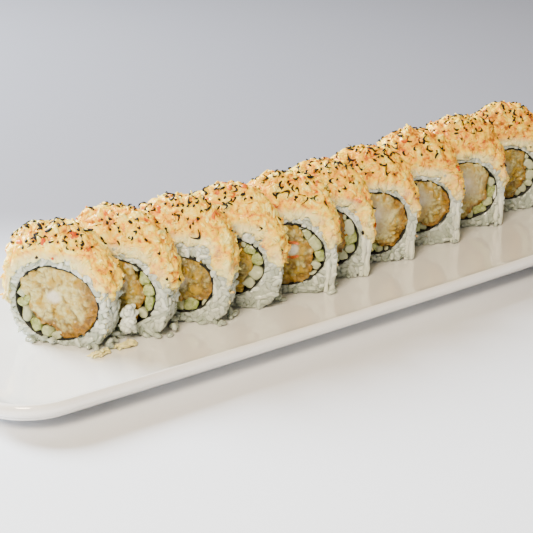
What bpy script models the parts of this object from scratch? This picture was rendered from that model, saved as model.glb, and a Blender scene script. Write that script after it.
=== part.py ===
"""A sushi roll cut into ten slices, each under a spoonful of shredded topping, on a long porcelain plate.

Units are metres and +Z is up. The origin is on the table under the middle of the plate, whose long
side lies along X. Each slice is built in its own section: u runs across the cut face, v runs from the
front face to the back one and z stands up from the plate's well.
"""
import math
import random

import bmesh
import bpy

MM = 0.001
GAP = 0.3 * MM

# The plate: a low tray with a rolled rim, bowed long sides and a raised foot ring.
PLATE_LENGTH = 420 * MM
PLATE_WIDTH = 136 * MM
PLATE_BOW = 3.5 * MM
PLATE_HEIGHT = 13.5 * MM
CORNER_RADIUS = 26 * MM
CORNER_STEPS = 5
SIDE_STEPS = 8
WELL_Z = 8.5 * MM
FOOT_LENGTH = 306 * MM
FOOT_WIDTH = 111 * MM
FOOT_BAND = 5 * MM
FOOT_HEIGHT = 4.2 * MM
FOOT_RECESS = 2.6 * MM

# The row: where the middle of each front face stands on the plate, how far it is turned, and its depth.
FRONT_X = [v * MM for v in (-154.5, -128.3, -99.6, -72.2, -40.6, -14.0, 19.6, 56.8, 96.2, 137.8)]
FRONT_Y = [v * MM for v in (-10.4, -16.4, -21.7, -22.5, -24.7, -20.6, -17.8, -13.0, -7.7, -0.9)]
TURN = [math.radians(v) for v in (-55.6, -50.6, -47.6, -42.6, -36.6, -30.6, -27.6, -28.6, -26.6, -25.6)]
DEPTH = [v * MM for v in (15.0, 16.4, 16.5, 16.1, 15.5, 17.0, 19.5, 20.4, 21.0, 20.5)]

# The rice: a rounded block with a flat base, pitted to the size of its grains.
RICE_WIDTH = 45 * MM
RICE_HEIGHT = 40 * MM
RICE_SQUARENESS = 2.7
RICE_POINTS = 48
RICE_ROWS = 4
GRAIN_RELIEF = 1.3 * MM
BASE_LINE = 2.0 * MM

# The seaweed ring in each face: its width, height and the height of its middle above the well.
RING_WIDTH = [v * MM for v in (38, 35, 31, 31, 35, 33, 36, 32, 36, 34)]
RING_HEIGHT = [v * MM for v in (33, 30, 26, 27, 30, 29, 32, 28, 32, 29)]
RING_Z = [v * MM for v in (18.9, 19.3, 18.2, 20.6, 19.5, 20.5, 21.0, 21.3, 20.2, 21.0)]
RING_POINTS = 24
NORI_THICKNESS = 0.9 * MM

# The filling: a battered prawn in the middle and cucumber sticks along part of the ring.
STICK_SIDE = 5.6 * MM
STICK_NOTCH = 0.9 * MM
STICK_COUNT = [4, 3, 3, 3, 3, 3, 2, 3, 3, 3]
STICK_START = [math.radians(v) for v in (176, -35, 222, -40, -22, -50, 235, 200, -62, -48)]
FILLING_GAP = 0.6 * MM
PRAWN_POINTS = 20
PRAWN_EASE = math.radians(60)
PRAWN_BULGE = 1.0 * MM

# The topping: a dome over the rice that runs down the sides in tongues.
TOPPING_TOP = [v * MM for v in (53.0, 55.8, 56.8, 56.8, 57.8, 58.0, 58.4, 59.3, 59.3, 59.0)]
TOPPING_HALF_WIDTH = 25.6 * MM
TOPPING_SHOULDER_LEFT = 2.7
TOPPING_SHOULDER_RIGHT = 2.3
TOPPING_LEFT = math.radians(178)
TOPPING_RIGHT = math.radians(12)
TOPPING_TONGUE = [math.radians(v) for v in (6, 18, 16, 14, 14, 12, 14, 12, 14, 14)]
TOPPING_RELIEF = 1.6 * MM
TOPPING_FRONT_ROUND = (0.76, 0.94, 1.0, 0.98, 0.88)
TOPPING_STEP = math.radians(10)
TOPPING_FIRST = math.radians(-22)
TOPPING_STRIPS = 4
TOPPING_GAP = 0.8 * MM

# Loose bits on the plate: fallen shreds of the topping and a clump of rice by the second slice.
SHRED_PLACES = [(-146.3 * MM, -30.4 * MM, 0.12), (-132.8 * MM, -29.8 * MM, 0.2)]
SHRED_SIZE = (9.5 * MM, 3.4 * MM, 2.0 * MM)
CLUMP_U = 27.0 * MM
CLUMP_V = 13.4 * MM
CLUMP_SIZE = (7.2 * MM, 6.4 * MM, 20.0 * MM)


def clear_scene():
    for old in list(bpy.data.objects):
        bpy.data.objects.remove(old, do_unlink=True)


def new_collection(name):
    collection = bpy.data.collections.new(name)
    bpy.context.scene.collection.children.link(collection)
    return collection


def material(name, colour, roughness, metallic=0.0):
    mat = bpy.data.materials.new(name)
    mat.use_nodes = True
    shader = mat.node_tree.nodes["Principled BSDF"]
    shader.inputs["Base Color"].default_value = (*colour, 1.0)
    shader.inputs["Roughness"].default_value = roughness
    shader.inputs["Metallic"].default_value = metallic
    return mat


def make_object(name, bm, mat, collection):
    bmesh.ops.recalc_face_normals(bm, faces=bm.faces)
    mesh = bpy.data.meshes.new(name)
    bm.to_mesh(mesh)
    bm.free()
    mesh.materials.append(mat)
    mesh.shade_smooth()
    mesh.set_sharp_from_angle(angle=math.radians(40))
    obj = bpy.data.objects.new(name, mesh)
    collection.objects.link(obj)
    return obj


def add_loop(bm, points):
    return [bm.verts.new(p) for p in points]


def bridge(bm, first, second):
    """Join two closed loops with the same number of points."""
    count = len(first)
    for i in range(count):
        j = (i + 1) % count
        bm.faces.new((first[i], first[j], second[j], second[i]))


def bridge_double(bm, inner, outer):
    """Join a closed loop to one with twice as many points."""
    count = len(inner)
    for i in range(count):
        j = (i + 1) % count
        left, middle, right = outer[2 * i], outer[2 * i + 1], outer[(2 * i + 2) % len(outer)]
        bm.faces.new((inner[i], left, middle))
        bm.faces.new((inner[i], middle, inner[j]))
        bm.faces.new((inner[j], middle, right))


def fan(bm, loop, tip):
    """Close a loop with triangles to a point."""
    centre = bm.verts.new(tip)
    for i, vert in enumerate(loop):
        bm.faces.new((vert, loop[(i + 1) % len(loop)], centre))


def tray_outline(length, width, bow, radius, z):
    """A rounded rectangle whose long sides bow outwards, walked once round from the right-hand side."""
    half_x = length / 2
    half_y = width / 2
    centres = ((1, 1, 0), (-1, 1, 90), (-1, -1, 180), (1, -1, 270))
    points = []
    for sx, sy, start in centres:
        cx = sx * (half_x - radius)
        cy = sy * (half_y - radius)
        for step in range(CORNER_STEPS + 1):
            angle = math.radians(start + 90 * step / CORNER_STEPS)
            points.append((cx + radius * math.cos(angle), cy + radius * math.sin(angle)))
        if start in (0, 180):
            for step in range(1, SIDE_STEPS):
                points.append((cx - sx * 2 * abs(cx) * step / SIDE_STEPS, sy * half_y))
    bowed = []
    for x, y in points:
        lift = bow * (1 - (x / half_x) ** 2)
        bowed.append((x, y + math.copysign(lift, y) * abs(y) / half_y, z))
    return bowed


def build_plate(mat, collection):
    """The tray as rings from the recess under it, out round the rim and back in to the well."""
    rim_l, rim_w = PLATE_LENGTH, PLATE_WIDTH
    foot_l, foot_w = FOOT_LENGTH, FOOT_WIDTH
    rings = (
        (foot_l - 2 * FOOT_BAND - 2 * MM, foot_w - 2 * FOOT_BAND - 2 * MM, 1.0, 14, FOOT_RECESS),
        (foot_l - 2 * FOOT_BAND, foot_w - 2 * FOOT_BAND, 1.0, 15, 0.0),
        (foot_l, foot_w, 1.0, 20, 0.0),
        (foot_l + 2.4 * MM, foot_w + 2.4 * MM, 1.0, 21, FOOT_HEIGHT),
        (rim_l - 17 * MM, rim_w - 9 * MM, 2.6, 22, 5.6 * MM),
        (rim_l - 3.2 * MM, rim_w - 3.2 * MM, 3.4, 25, 7.6 * MM),
        (rim_l, rim_w, 3.5, 26, 10.0 * MM),
        (rim_l - 0.9 * MM, rim_w - 0.9 * MM, 3.5, 25.6, 12.5 * MM),
        (rim_l - 3.6 * MM, rim_w - 3.6 * MM, 3.5, 24.6, PLATE_HEIGHT),
        (rim_l - 7.4 * MM, rim_w - 7.4 * MM, 3.5, 23, 12.6 * MM),
        (rim_l - 16 * MM, rim_w - 14 * MM, 3.3, 21, 9.9 * MM),
        (rim_l - 30 * MM, rim_w - 22 * MM, 3.0, 19, 8.75 * MM),
        (rim_l - 46 * MM, rim_w - 32 * MM, 2.6, 17, WELL_Z),
    )
    bm = bmesh.new()
    loops = [add_loop(bm, tray_outline(l, w, bow * MM, r * MM, z)) for l, w, bow, r, z in rings]
    for first, second in zip(loops, loops[1:]):
        bridge(bm, first, second)
    bm.faces.new(list(reversed(loops[0])))
    bm.faces.new(loops[-1])
    return make_object("plate", bm, mat, collection)


def rice_outline(angle, grow=0.0):
    """The bare section of the rice at an angle round its middle: a squarish oval, flat underneath."""
    half_u = RICE_WIDTH / 2 + grow
    half_z = RICE_HEIGHT / 2 + 1.2 * MM + grow
    cu = abs(math.cos(angle)) / half_u
    cz = abs(math.sin(angle)) / half_z
    radius = (cu ** RICE_SQUARENESS + cz ** RICE_SQUARENESS) ** (-1 / RICE_SQUARENESS)
    u = radius * math.cos(angle)
    z = RICE_HEIGHT / 2 - 1.2 * MM + radius * math.sin(angle)
    return u, max(z, GAP)


def ring_radius(k, angle, inset=0.0):
    """The outside of the seaweed in slice k, an oval with a slight squash of its own."""
    half_u = RING_WIDTH[k] / 2
    half_z = RING_HEIGHT[k] / 2
    oval = 1 / math.hypot(math.cos(angle) / half_u, math.sin(angle) / half_z)
    return oval * (1 + 0.018 * math.cos(3 * angle + 1.7 * k)) - inset


def ring_loop(k, inset, v):
    points = []
    for i in range(RING_POINTS):
        angle = math.tau * i / RING_POINTS
        radius = ring_radius(k, angle, inset)
        points.append((radius * math.cos(angle), v, RING_Z[k] + radius * math.sin(angle)))
    return points


def build_rice(k, mat, collection):
    """The block of rice with the hole that the seaweed lies in."""
    rng = random.Random(100 + k)
    bm = bmesh.new()
    loops = []
    for row in range(RICE_ROWS):
        v = DEPTH[k] * row / (RICE_ROWS - 1)
        end = row in (0, RICE_ROWS - 1)
        points = []
        for i in range(RICE_POINTS):
            angle = math.tau * i / RICE_POINTS
            u, z = rice_outline(angle)
            if z > BASE_LINE:
                pit = rng.uniform(0, GRAIN_RELIEF) + (0.5 * MM if end else 0.0)
                u -= pit * math.cos(angle)
                z -= pit * math.sin(angle)
            inward = rng.uniform(0, 0.6 * MM) if end else rng.uniform(-1, 1) * MM
            v_point = v + inward if row < RICE_ROWS / 2 else v - inward
            points.append((u, v_point, max(z, GAP)))
        loops.append(add_loop(bm, points))
    for first, second in zip(loops, loops[1:]):
        bridge(bm, first, second)
    holes = [add_loop(bm, ring_loop(k, -GAP, v)) for v in (0.5 * MM, DEPTH[k] - 0.5 * MM)]
    bridge(bm, holes[0], holes[1])
    bridge_double(bm, holes[0], loops[0])
    bridge_double(bm, holes[1], loops[-1])
    return make_object(f"rice_{k + 1}", bm, mat, collection)


def build_nori(k, mat, collection):
    """The seaweed, a thin tube through the slice."""
    front = 0.3 * MM
    back = DEPTH[k] - front
    bm = bmesh.new()
    outer = [add_loop(bm, ring_loop(k, 0.0, v)) for v in (front, back)]
    inner = [add_loop(bm, ring_loop(k, NORI_THICKNESS, v)) for v in (front, back)]
    bridge(bm, outer[0], outer[1])
    bridge(bm, inner[0], inner[1])
    bridge(bm, outer[0], inner[0])
    bridge(bm, outer[1], inner[1])
    return make_object(f"nori_{k + 1}", bm, mat, collection)


def stick_band(k):
    """Where the cucumber lies in slice k: its outer and inner radius and its first and last angle."""
    start = STICK_START[k]
    middle_radius = ring_radius(k, start) - NORI_THICKNESS - STICK_SIDE / 2
    width = STICK_SIDE / middle_radius
    return start, start + width * STICK_COUNT[k], width


def stick_outer(k, angle):
    return ring_radius(k, angle, NORI_THICKNESS + FILLING_GAP)


def stick_section(k):
    """Pairs of outer and inner points along the bundle, with a notch between each two sticks."""
    start, _, width = stick_band(k)
    pairs = []
    for stick in range(STICK_COUNT[k]):
        lean = STICK_NOTCH * (0.4 + 0.5 * ((stick + k) % 3))
        for share in (0.08, 0.92):
            angle = start + width * (stick + share)
            pairs.append((angle, stick_outer(k, angle), stick_outer(k, angle) - STICK_SIDE + lean * 0.6))
        if stick < STICK_COUNT[k] - 1:
            notch = start + width * (stick + 1)
            reach = stick_outer(k, notch)
            pairs.append((notch, reach - STICK_NOTCH, reach - STICK_SIDE + STICK_NOTCH))
    return pairs


def build_cucumber(k, mat, collection):
    """Sticks side by side along the ring, as one bundle from face to face."""
    bm = bmesh.new()
    ends = []
    for v in (0.5 * MM, DEPTH[k] - 0.5 * MM):
        outer = []
        inner = []
        for angle, far, near in stick_section(k):
            cos, sin = math.cos(angle), math.sin(angle)
            outer.append(bm.verts.new((far * cos, v, RING_Z[k] + far * sin)))
            inner.append(bm.verts.new((near * cos, v, RING_Z[k] + near * sin)))
        ends.append((outer, inner))
    (front_outer, front_inner), (back_outer, back_inner) = ends
    for i in range(len(front_outer) - 1):
        bm.faces.new((front_outer[i], front_outer[i + 1], front_inner[i + 1], front_inner[i]))
        bm.faces.new((back_outer[i + 1], back_outer[i], back_inner[i], back_inner[i + 1]))
        bm.faces.new((front_outer[i + 1], front_outer[i], back_outer[i], back_outer[i + 1]))
        bm.faces.new((front_inner[i], front_inner[i + 1], back_inner[i + 1], back_inner[i]))
    bm.faces.new((front_outer[0], front_inner[0], back_inner[0], back_outer[0]))
    bm.faces.new((front_inner[-1], front_outer[-1], back_outer[-1], back_inner[-1]))
    return make_object(f"cucumber_{k + 1}", bm, mat, collection)


def prawn_radius(k, angle):
    """The prawn's reach at an angle: flattened against the cucumber and nearly out to the seaweed elsewhere."""
    start, end, _ = stick_band(k)
    middle = (start + end) / 2
    off = abs((angle - middle + math.pi) % math.tau - math.pi)
    beyond = max(0.0, off - (end - start) / 2 - math.radians(6))
    ease = min(1.0, beyond / PRAWN_EASE)
    ease = ease * ease * (3 - 2 * ease)
    return stick_outer(k, angle) - (STICK_SIDE + FILLING_GAP) * (1 - ease)


def build_prawn(k, mat, collection):
    """The battered prawn, a lumpy bar through the slice with a domed cut at each end."""
    rng = random.Random(300 + k)
    step = math.tau / PRAWN_POINTS
    radii = [prawn_radius(k, i * step) * rng.uniform(0.94, 0.98) for i in range(PRAWN_POINTS)]

    def section(scale, v):
        points = []
        for i, radius in enumerate(radii):
            u = radius * scale * math.cos(i * step)
            z = RING_Z[k] + radius * scale * math.sin(i * step)
            points.append((u, v, z))
        return points

    bm = bmesh.new()
    depth = DEPTH[k]
    tip = 0.2 * MM
    front = add_loop(bm, section(1.0, tip + PRAWN_BULGE))
    front_inner = add_loop(bm, section(0.62, tip + 0.3 * MM))
    back = add_loop(bm, section(1.0, depth - tip - PRAWN_BULGE))
    back_inner = add_loop(bm, section(0.62, depth - tip - 0.3 * MM))
    bridge(bm, front, back)
    bridge(bm, front, front_inner)
    bridge(bm, back, back_inner)
    fan(bm, front_inner, (0.0, tip, RING_Z[k]))
    fan(bm, back_inner, (0.0, depth - tip, RING_Z[k]))
    return make_object(f"prawn_{k + 1}", bm, mat, collection)


def topping_strips(k, rng):
    """The first and last column of the topping in each strip from front to back; the low ends are tongues."""
    strips = []
    for _ in range(TOPPING_STRIPS):
        right = TOPPING_RIGHT - rng.uniform(-0.4, 1.4) * TOPPING_TONGUE[k]
        left = TOPPING_LEFT + rng.uniform(-0.3, 0.6) * TOPPING_TONGUE[k]
        first = max(0, round((right - TOPPING_FIRST) / TOPPING_STEP))
        last = round((left - TOPPING_FIRST) / TOPPING_STEP)
        strips.append((first, last))
    return strips


def topping_thickness(k, angle, row, from_edge, rng):
    """How far the heap stands out from the rice: a broad dome, thinner where it ends, with a lumpy surface."""
    middle = RICE_HEIGHT / 2 - 1.2 * MM
    square = TOPPING_SHOULDER_RIGHT if math.cos(angle) > 0 else TOPPING_SHOULDER_LEFT
    cu = abs(math.cos(angle)) / TOPPING_HALF_WIDTH
    cz = abs(math.sin(angle)) / (TOPPING_TOP[k] - middle)
    dome = (cu ** square + cz ** square) ** (-1 / square)
    u, z = rice_outline(angle, TOPPING_GAP)
    thick = (dome - math.hypot(u, z - middle)) * TOPPING_FRONT_ROUND[row]
    lumps = rng.uniform(-0.5, 0.5) * TOPPING_RELIEF
    return max((thick + lumps) * min(1.0, 0.5 + 0.3 * from_edge), 0.9 * MM)


def build_topping(k, mat, collection):
    """A shell over the rice, as a grid of cells with an outer and an inner sheet."""
    rng = random.Random(500 + k)
    strips = topping_strips(k, rng)
    cells = [(row, column) for row, (first, last) in enumerate(strips) for column in range(first, last)]
    corners = sorted({(r + dr, c + dc) for r, c in cells for dr in (0, 1) for dc in (0, 1)})
    bm = bmesh.new()
    outer = {}
    inner = {}
    for row, column in corners:
        angle = TOPPING_FIRST + column * TOPPING_STEP
        beside = strips[max(0, row - 1):row + 1]
        from_edge = min(min(abs(column - first), abs(last - column)) for first, last in beside)
        thick = topping_thickness(k, angle, row, from_edge, rng)
        u, z = rice_outline(angle, TOPPING_GAP)
        v = DEPTH[k] * row / TOPPING_STRIPS
        inner[row, column] = bm.verts.new((u, v, z))
        outer[row, column] = bm.verts.new((u + thick * math.cos(angle), v, z + thick * math.sin(angle)))
    kept = set(cells)
    for row, column in cells:
        round_cell = ((row, column), (row, column + 1), (row + 1, column + 1), (row + 1, column))
        bm.faces.new([outer[corner] for corner in round_cell])
        bm.faces.new([inner[corner] for corner in reversed(round_cell)])
        neighbours = ((row - 1, column), (row, column + 1), (row + 1, column), (row, column - 1))
        for side, neighbour in enumerate(neighbours):
            if neighbour not in kept:
                start, end = round_cell[side], round_cell[(side + 1) % 4]
                bm.faces.new((outer[end], outer[start], inner[start], inner[end]))
    return make_object(f"topping_{k + 1}", bm, mat, collection)


def lump(name, size, lobes, segments, mat, collection):
    """A rounded bit of the given size whose girth ripples, with its origin in its middle."""
    bm = bmesh.new()
    bmesh.ops.create_uvsphere(bm, u_segments=segments, v_segments=segments // 2 + 1, radius=0.5)
    for vert in bm.verts:
        around = math.atan2(vert.co.y, vert.co.x)
        ripple = 1 + 0.14 * math.cos(lobes * around + 9 * vert.co.z)
        vert.co.x *= size[0] * ripple
        vert.co.y *= size[1] * ripple
        vert.co.z *= size[2]
    return make_object(name, bm, mat, collection)


def build_shred(number, place, mat, collection):
    """A flat bit of fallen topping, longer than it is wide."""
    x, y, turn = place
    obj = lump(f"fallen_shred_{number}", SHRED_SIZE, 3, 10, mat, collection)
    obj.location = (x, y, WELL_Z + GAP + SHRED_SIZE[2] / 2)
    obj.rotation_euler = (0, 0, turn)


def build_clump(mat, collection):
    """Rice that came off the first slice and stands against its side."""
    cos, sin = math.cos(TURN[0]), math.sin(TURN[0])
    x = FRONT_X[0] + CLUMP_U * cos - CLUMP_V * sin
    y = FRONT_Y[0] + CLUMP_U * sin + CLUMP_V * cos
    obj = lump("rice_clump", CLUMP_SIZE, 4, 12, mat, collection)
    obj.location = (x, y, WELL_Z + GAP + CLUMP_SIZE[2] / 2)
    obj.rotation_euler = (0, 0, TURN[0])


def build_slice(k, mats, collection):
    """One slice: an empty on the plate that carries its layers."""
    stand = bpy.data.objects.new(f"slice_{k + 1}", None)
    stand.location = (FRONT_X[k], FRONT_Y[k], WELL_Z)
    stand.rotation_euler = (0, 0, TURN[k])
    collection.objects.link(stand)
    layers = (
        build_rice(k, mats["rice"], collection),
        build_nori(k, mats["nori"], collection),
        build_cucumber(k, mats["cucumber"], collection),
        build_prawn(k, mats["prawn"], collection),
        build_topping(k, mats["topping"], collection),
    )
    for layer in layers:
        layer.parent = stand


def main():
    clear_scene()
    collection = new_collection("sushi_roll_on_plate")
    mats = {
        "porcelain": material("porcelain", (0.86, 0.86, 0.85), 0.12),
        "rice": material("rice", (0.80, 0.82, 0.80), 0.35),
        "nori": material("nori", (0.02, 0.025, 0.02), 0.45),
        "cucumber": material("cucumber", (0.62, 0.68, 0.42), 0.3),
        "prawn": material("prawn", (0.72, 0.52, 0.26), 0.5),
        "topping": material("topping", (0.90, 0.68, 0.46), 0.35),
    }
    build_plate(mats["porcelain"], collection)
    for k in range(len(FRONT_X)):
        build_slice(k, mats, collection)
    for number, place in enumerate(SHRED_PLACES, start=1):
        build_shred(number, place, mats["topping"], collection)
    build_clump(mats["rice"], collection)


main()
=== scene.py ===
# %% [markdown]
# Sushi roll slices on a long plate, dressed for the camera
#
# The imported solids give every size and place. This file makes the looks: grains of rice, crinkled
# seaweed, battered prawn, wet cucumber, a heap of shredded topping and a glazed plate. Each new
# piece is a surface worked out with numpy on a grid, and stands where its solid stands.

# %% Start from the solids
import itertools
import math

import bpy
import numpy as np
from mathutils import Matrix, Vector


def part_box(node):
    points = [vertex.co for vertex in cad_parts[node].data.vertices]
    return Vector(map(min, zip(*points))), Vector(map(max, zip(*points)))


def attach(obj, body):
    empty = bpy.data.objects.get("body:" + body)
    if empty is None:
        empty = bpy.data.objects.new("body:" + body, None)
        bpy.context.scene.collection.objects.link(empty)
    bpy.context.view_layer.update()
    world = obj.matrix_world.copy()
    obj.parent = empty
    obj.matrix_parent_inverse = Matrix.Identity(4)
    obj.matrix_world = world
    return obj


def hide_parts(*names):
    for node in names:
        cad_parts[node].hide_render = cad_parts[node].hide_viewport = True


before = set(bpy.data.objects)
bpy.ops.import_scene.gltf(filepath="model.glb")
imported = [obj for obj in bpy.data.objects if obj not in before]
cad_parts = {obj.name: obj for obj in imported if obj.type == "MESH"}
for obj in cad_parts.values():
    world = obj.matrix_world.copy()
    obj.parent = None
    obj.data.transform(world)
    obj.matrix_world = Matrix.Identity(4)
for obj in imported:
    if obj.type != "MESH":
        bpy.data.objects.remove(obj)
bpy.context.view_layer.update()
MM = 0.001
SLICES = range(1, 11)
print("solids:", len(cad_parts))

# %% [markdown]
# Where each slice stands
#
# A slice is easiest to shape in its own section: a runs across the cut face, b from the front face
# to the back one and c up from the plate. The seaweed solid is a straight tube, so the long
# direction of its points seen from above is a, and its ends give the depth. Reading them from the
# solid keeps this file right if a slice is moved.

# %% Slice frames
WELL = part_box("rice_1")[0][2] - 0.3 * MM
RICE_MIDDLE = 18.8 * MM


def solid_points(name):
    """The corners of a solid, each one once."""
    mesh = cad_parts[name].data
    flat = np.empty(len(mesh.vertices) * 3)
    mesh.vertices.foreach_get("co", flat)
    return np.unique(np.round(flat.reshape(-1, 3), 6), axis=0)


def read_slice(k):
    """Slice k's axes, depth and seaweed ring. The main axis of the scatter seen from above is a."""
    points = solid_points(f"nori_{k}")
    middle = points.mean(axis=0)[:2]
    plan = points[:, :2] - middle
    _, axes = np.linalg.eigh(plan.T @ plan)
    across = axes[:, 1] * np.sign(axes[0, 1])
    back = np.array([-across[1], across[0]])
    along = plan @ back
    depth = np.ptp(along) + 0.6 * MM
    return {
        "k": k,
        "a": across,
        "b": back,
        "depth": depth,
        "origin": middle - back * depth / 2,
        "ring_w": np.ptp(plan @ across),
        "ring_h": np.ptp(points[:, 2]),
        "ring_c": (points[:, 2].max() + points[:, 2].min()) / 2 - WELL,
        "top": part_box(f"topping_{k}")[1][2] - WELL,
    }


slices = {k: read_slice(k) for k in SLICES}


def to_world(one, a, b, c):
    """A place in slice coordinates as world coordinates, for whole arrays at once."""
    x = one["origin"][0] + a * one["a"][0] + b * one["b"][0]
    y = one["origin"][1] + a * one["a"][1] + b * one["b"][1]
    return np.stack([x, y, c + WELL], axis=-1)


def slice_place(one, points):
    """World places as slice coordinates a, b and c."""
    flat = points[:, :2] - one["origin"]
    return flat @ one["a"], flat @ one["b"], points[:, 2] - WELL


def polar_place(one, points):
    """World places as slice coordinates, with the angle and radius round the middle of the rice."""
    a, b, c = slice_place(one, points)
    return a, b, c, np.arctan2(c - RICE_MIDDLE, a), np.hypot(a, c - RICE_MIDDLE)


for one in slices.values():
    print("slice", one["k"], "depth mm", round(one["depth"] / MM, 1), "top mm", round(one["top"] / MM, 1))

# %% [markdown]
# Grids into meshes
#
# Every piece below is one of two forms. A tube is a stack of closed rings with a point at each end,
# which makes a grain, a shred, a stick or a heap. A ring is a grid that joins itself both ways,
# which makes a block with a hole. Quads are written as two triangles, so the face list of any
# number of equal copies is one array with an offset for each copy.

# %% Mesh helpers


def circle(cols):
    """The angles of cols points spaced evenly round a circle."""
    return math.tau * np.arange(cols) / cols


def tube_faces(rows, cols):
    """Faces of rows rings with cols points each, closed by one point before the first and one after."""
    r, c = np.meshgrid(np.arange(rows - 1), np.arange(cols), indexing="ij")
    nxt = (c + 1) % cols
    low, high = r * cols, (r + 1) * cols
    one = np.stack([low + c, low + nxt, high + nxt], axis=-1).reshape(-1, 3)
    two = np.stack([low + c, high + nxt, high + c], axis=-1).reshape(-1, 3)
    c = np.arange(cols)
    nxt = (c + 1) % cols
    first, last = rows * cols, rows * cols + 1
    start = np.stack([np.full(cols, first), nxt, c], axis=-1)
    top = (rows - 1) * cols
    end = np.stack([np.full(cols, last), top + c, top + nxt], axis=-1)
    return np.concatenate([one, two, start, end])


def ring_faces(rows, cols):
    """Faces of a grid whose last row joins its first and whose last column joins its first."""
    r, c = np.meshgrid(np.arange(rows), np.arange(cols), indexing="ij")
    below, beside = (r + 1) % rows, (c + 1) % cols
    one = np.stack([r * cols + c, r * cols + beside, below * cols + beside], axis=-1).reshape(-1, 3)
    two = np.stack([r * cols + c, below * cols + beside, below * cols + c], axis=-1).reshape(-1, 3)
    return np.concatenate([one, two])


def tube_points(rings, first, last):
    """Points of one or many tubes: rings (..., rows, cols, 3) and the two end points (..., 3)."""
    flat = rings.reshape(*rings.shape[:-3], -1, 3)
    return np.concatenate([flat, first[..., None, :], last[..., None, :]], axis=-2)


def many(points, faces):
    """Copies (count, n, 3) with one face list, as one point list and one face list."""
    count, size = points.shape[:2]
    offsets = (np.arange(count) * size)[:, None, None]
    return points.reshape(-1, 3), (faces[None] + offsets).reshape(-1, 3)


def join(parts):
    """Several (points, faces) as one."""
    start = 0
    all_points, all_faces = [], []
    for points, faces in parts:
        all_points.append(points)
        all_faces.append(faces + start)
        start += len(points)
    return np.concatenate(all_points), np.concatenate(all_faces)


def volume(points, faces):
    """The signed volume: the sum of the boxes that each face spans with the middle, over six."""
    p = points - points.mean(axis=0)
    a, b, c = p[faces[:, 0]], p[faces[:, 1]], p[faces[:, 2]]
    return np.einsum("ij,ij->i", a, np.cross(b, c)).sum() / 6


def outward(points, faces):
    """The same faces, turned round if they point inwards."""
    return faces if volume(points, faces) > 0 else faces[:, ::-1]


def normals_of(points, faces):
    """Point normals: the sum of the face normals that meet at each point."""
    a, b, c = points[faces[:, 0]], points[faces[:, 1]], points[faces[:, 2]]
    face = np.cross(b - a, c - a)
    total = np.zeros_like(points)
    for corner in range(3):
        np.add.at(total, faces[:, corner], face)
    return total / np.maximum(np.linalg.norm(total, axis=1, keepdims=True), 1e-12)


def each_point(numbers, points):
    """One number for each copy, repeated for all the points of that copy."""
    return np.repeat(numbers, len(points) // len(numbers))


def piece(name, points, faces, finish, nodes=(), **values):
    """A mesh object from arrays, with a number for each point, standing for the solids in nodes."""
    mesh = bpy.data.meshes.new(name)
    mesh.vertices.add(len(points))
    mesh.vertices.foreach_set("co", points.astype(np.float32).ravel())
    mesh.loops.add(len(faces) * 3)
    mesh.loops.foreach_set("vertex_index", faces.astype(np.int32).ravel())
    mesh.polygons.add(len(faces))
    mesh.polygons.foreach_set("loop_start", np.arange(len(faces), dtype=np.int32) * 3)
    mesh.update(calc_edges=True)
    mesh.validate()
    mesh.shade_smooth()
    for label, numbers in values.items():
        mesh.attributes.new(label, "FLOAT", "POINT").data.foreach_set("value", numbers.astype(np.float32))
    mesh.materials.append(finish)
    obj = bpy.data.objects.new(name, mesh)
    bpy.context.scene.collection.objects.link(obj)
    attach(obj, "root")
    if nodes:
        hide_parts(*nodes)
    return obj


# %% [markdown]
# Unevenness
#
# Nothing in food is straight. Smooth noise for a surface is a lattice of random numbers, blended
# between the eight corners round each point. It is worked out here for whole arrays, so a heap of
# ten thousand points is roughened in one call. Spreading things evenly but not in rows is a second
# need: points are drawn at random on a surface, and those too near an earlier one are dropped.

# %% Noise and spreading
LATTICE = 24


def noise(points, size, seed):
    """Smooth random heights from -1 to 1, with bumps about as wide as size."""
    lattice = np.random.default_rng(seed).uniform(-1, 1, (LATTICE, LATTICE, LATTICE))
    place = points / size
    cell = np.floor(place).astype(int)
    share = place - cell
    share = share * share * (3 - 2 * share)
    total = np.zeros(points.shape[:-1])
    for corner in itertools.product((0, 1), repeat=3):
        at = (cell + corner) % LATTICE
        weight = np.prod(np.where(np.array(corner) == 1, share, 1 - share), axis=-1)
        total += lattice[at[..., 0], at[..., 1], at[..., 2]] * weight
    return total


def rough(points, size, seed):
    """Three sizes of noise on top of each other, each half as wide and about half as high."""
    return (noise(points, size, seed) + 0.5 * noise(points, size / 2, seed + 1)
            + 0.3 * noise(points, size / 4, seed + 2)) / 1.4


def wobble(points, size, seed, step=1):
    """A vector of three noises for each point, their seeds a step apart."""
    return np.stack([noise(points, size, seed + step * n) for n in range(3)], axis=-1)


def on_surface(points, faces, count, rng):
    """Random places on a mesh, more of them on large faces, with the face normals."""
    a, b, c = points[faces[:, 0]], points[faces[:, 1]], points[faces[:, 2]]
    cross = np.cross(b - a, c - a)
    area = np.linalg.norm(cross, axis=1)
    pick = rng.choice(len(faces), count, p=area / area.sum())
    s, t = np.sqrt(rng.random(count)), rng.random(count)
    place = (1 - s)[:, None] * a[pick] + (s * (1 - t))[:, None] * b[pick] + (s * t)[:, None] * c[pick]
    return place, cross[pick] / area[pick, None]


def thinned(places, gap):
    """Which places to keep so that no two are nearer than gap, the first ones having the choice."""
    kept = np.empty((0, 3))
    chosen = []
    for index, place in enumerate(places):
        if len(kept) == 0 or np.min(np.sum((kept - place) ** 2, axis=1)) > gap * gap:
            kept = np.vstack([kept, place])
            chosen.append(index)
    return np.array(chosen, dtype=int)


def unit(vectors):
    """Each vector divided by its length."""
    return vectors / np.maximum(np.linalg.norm(vectors, axis=-1, keepdims=True), 1e-12)


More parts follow.
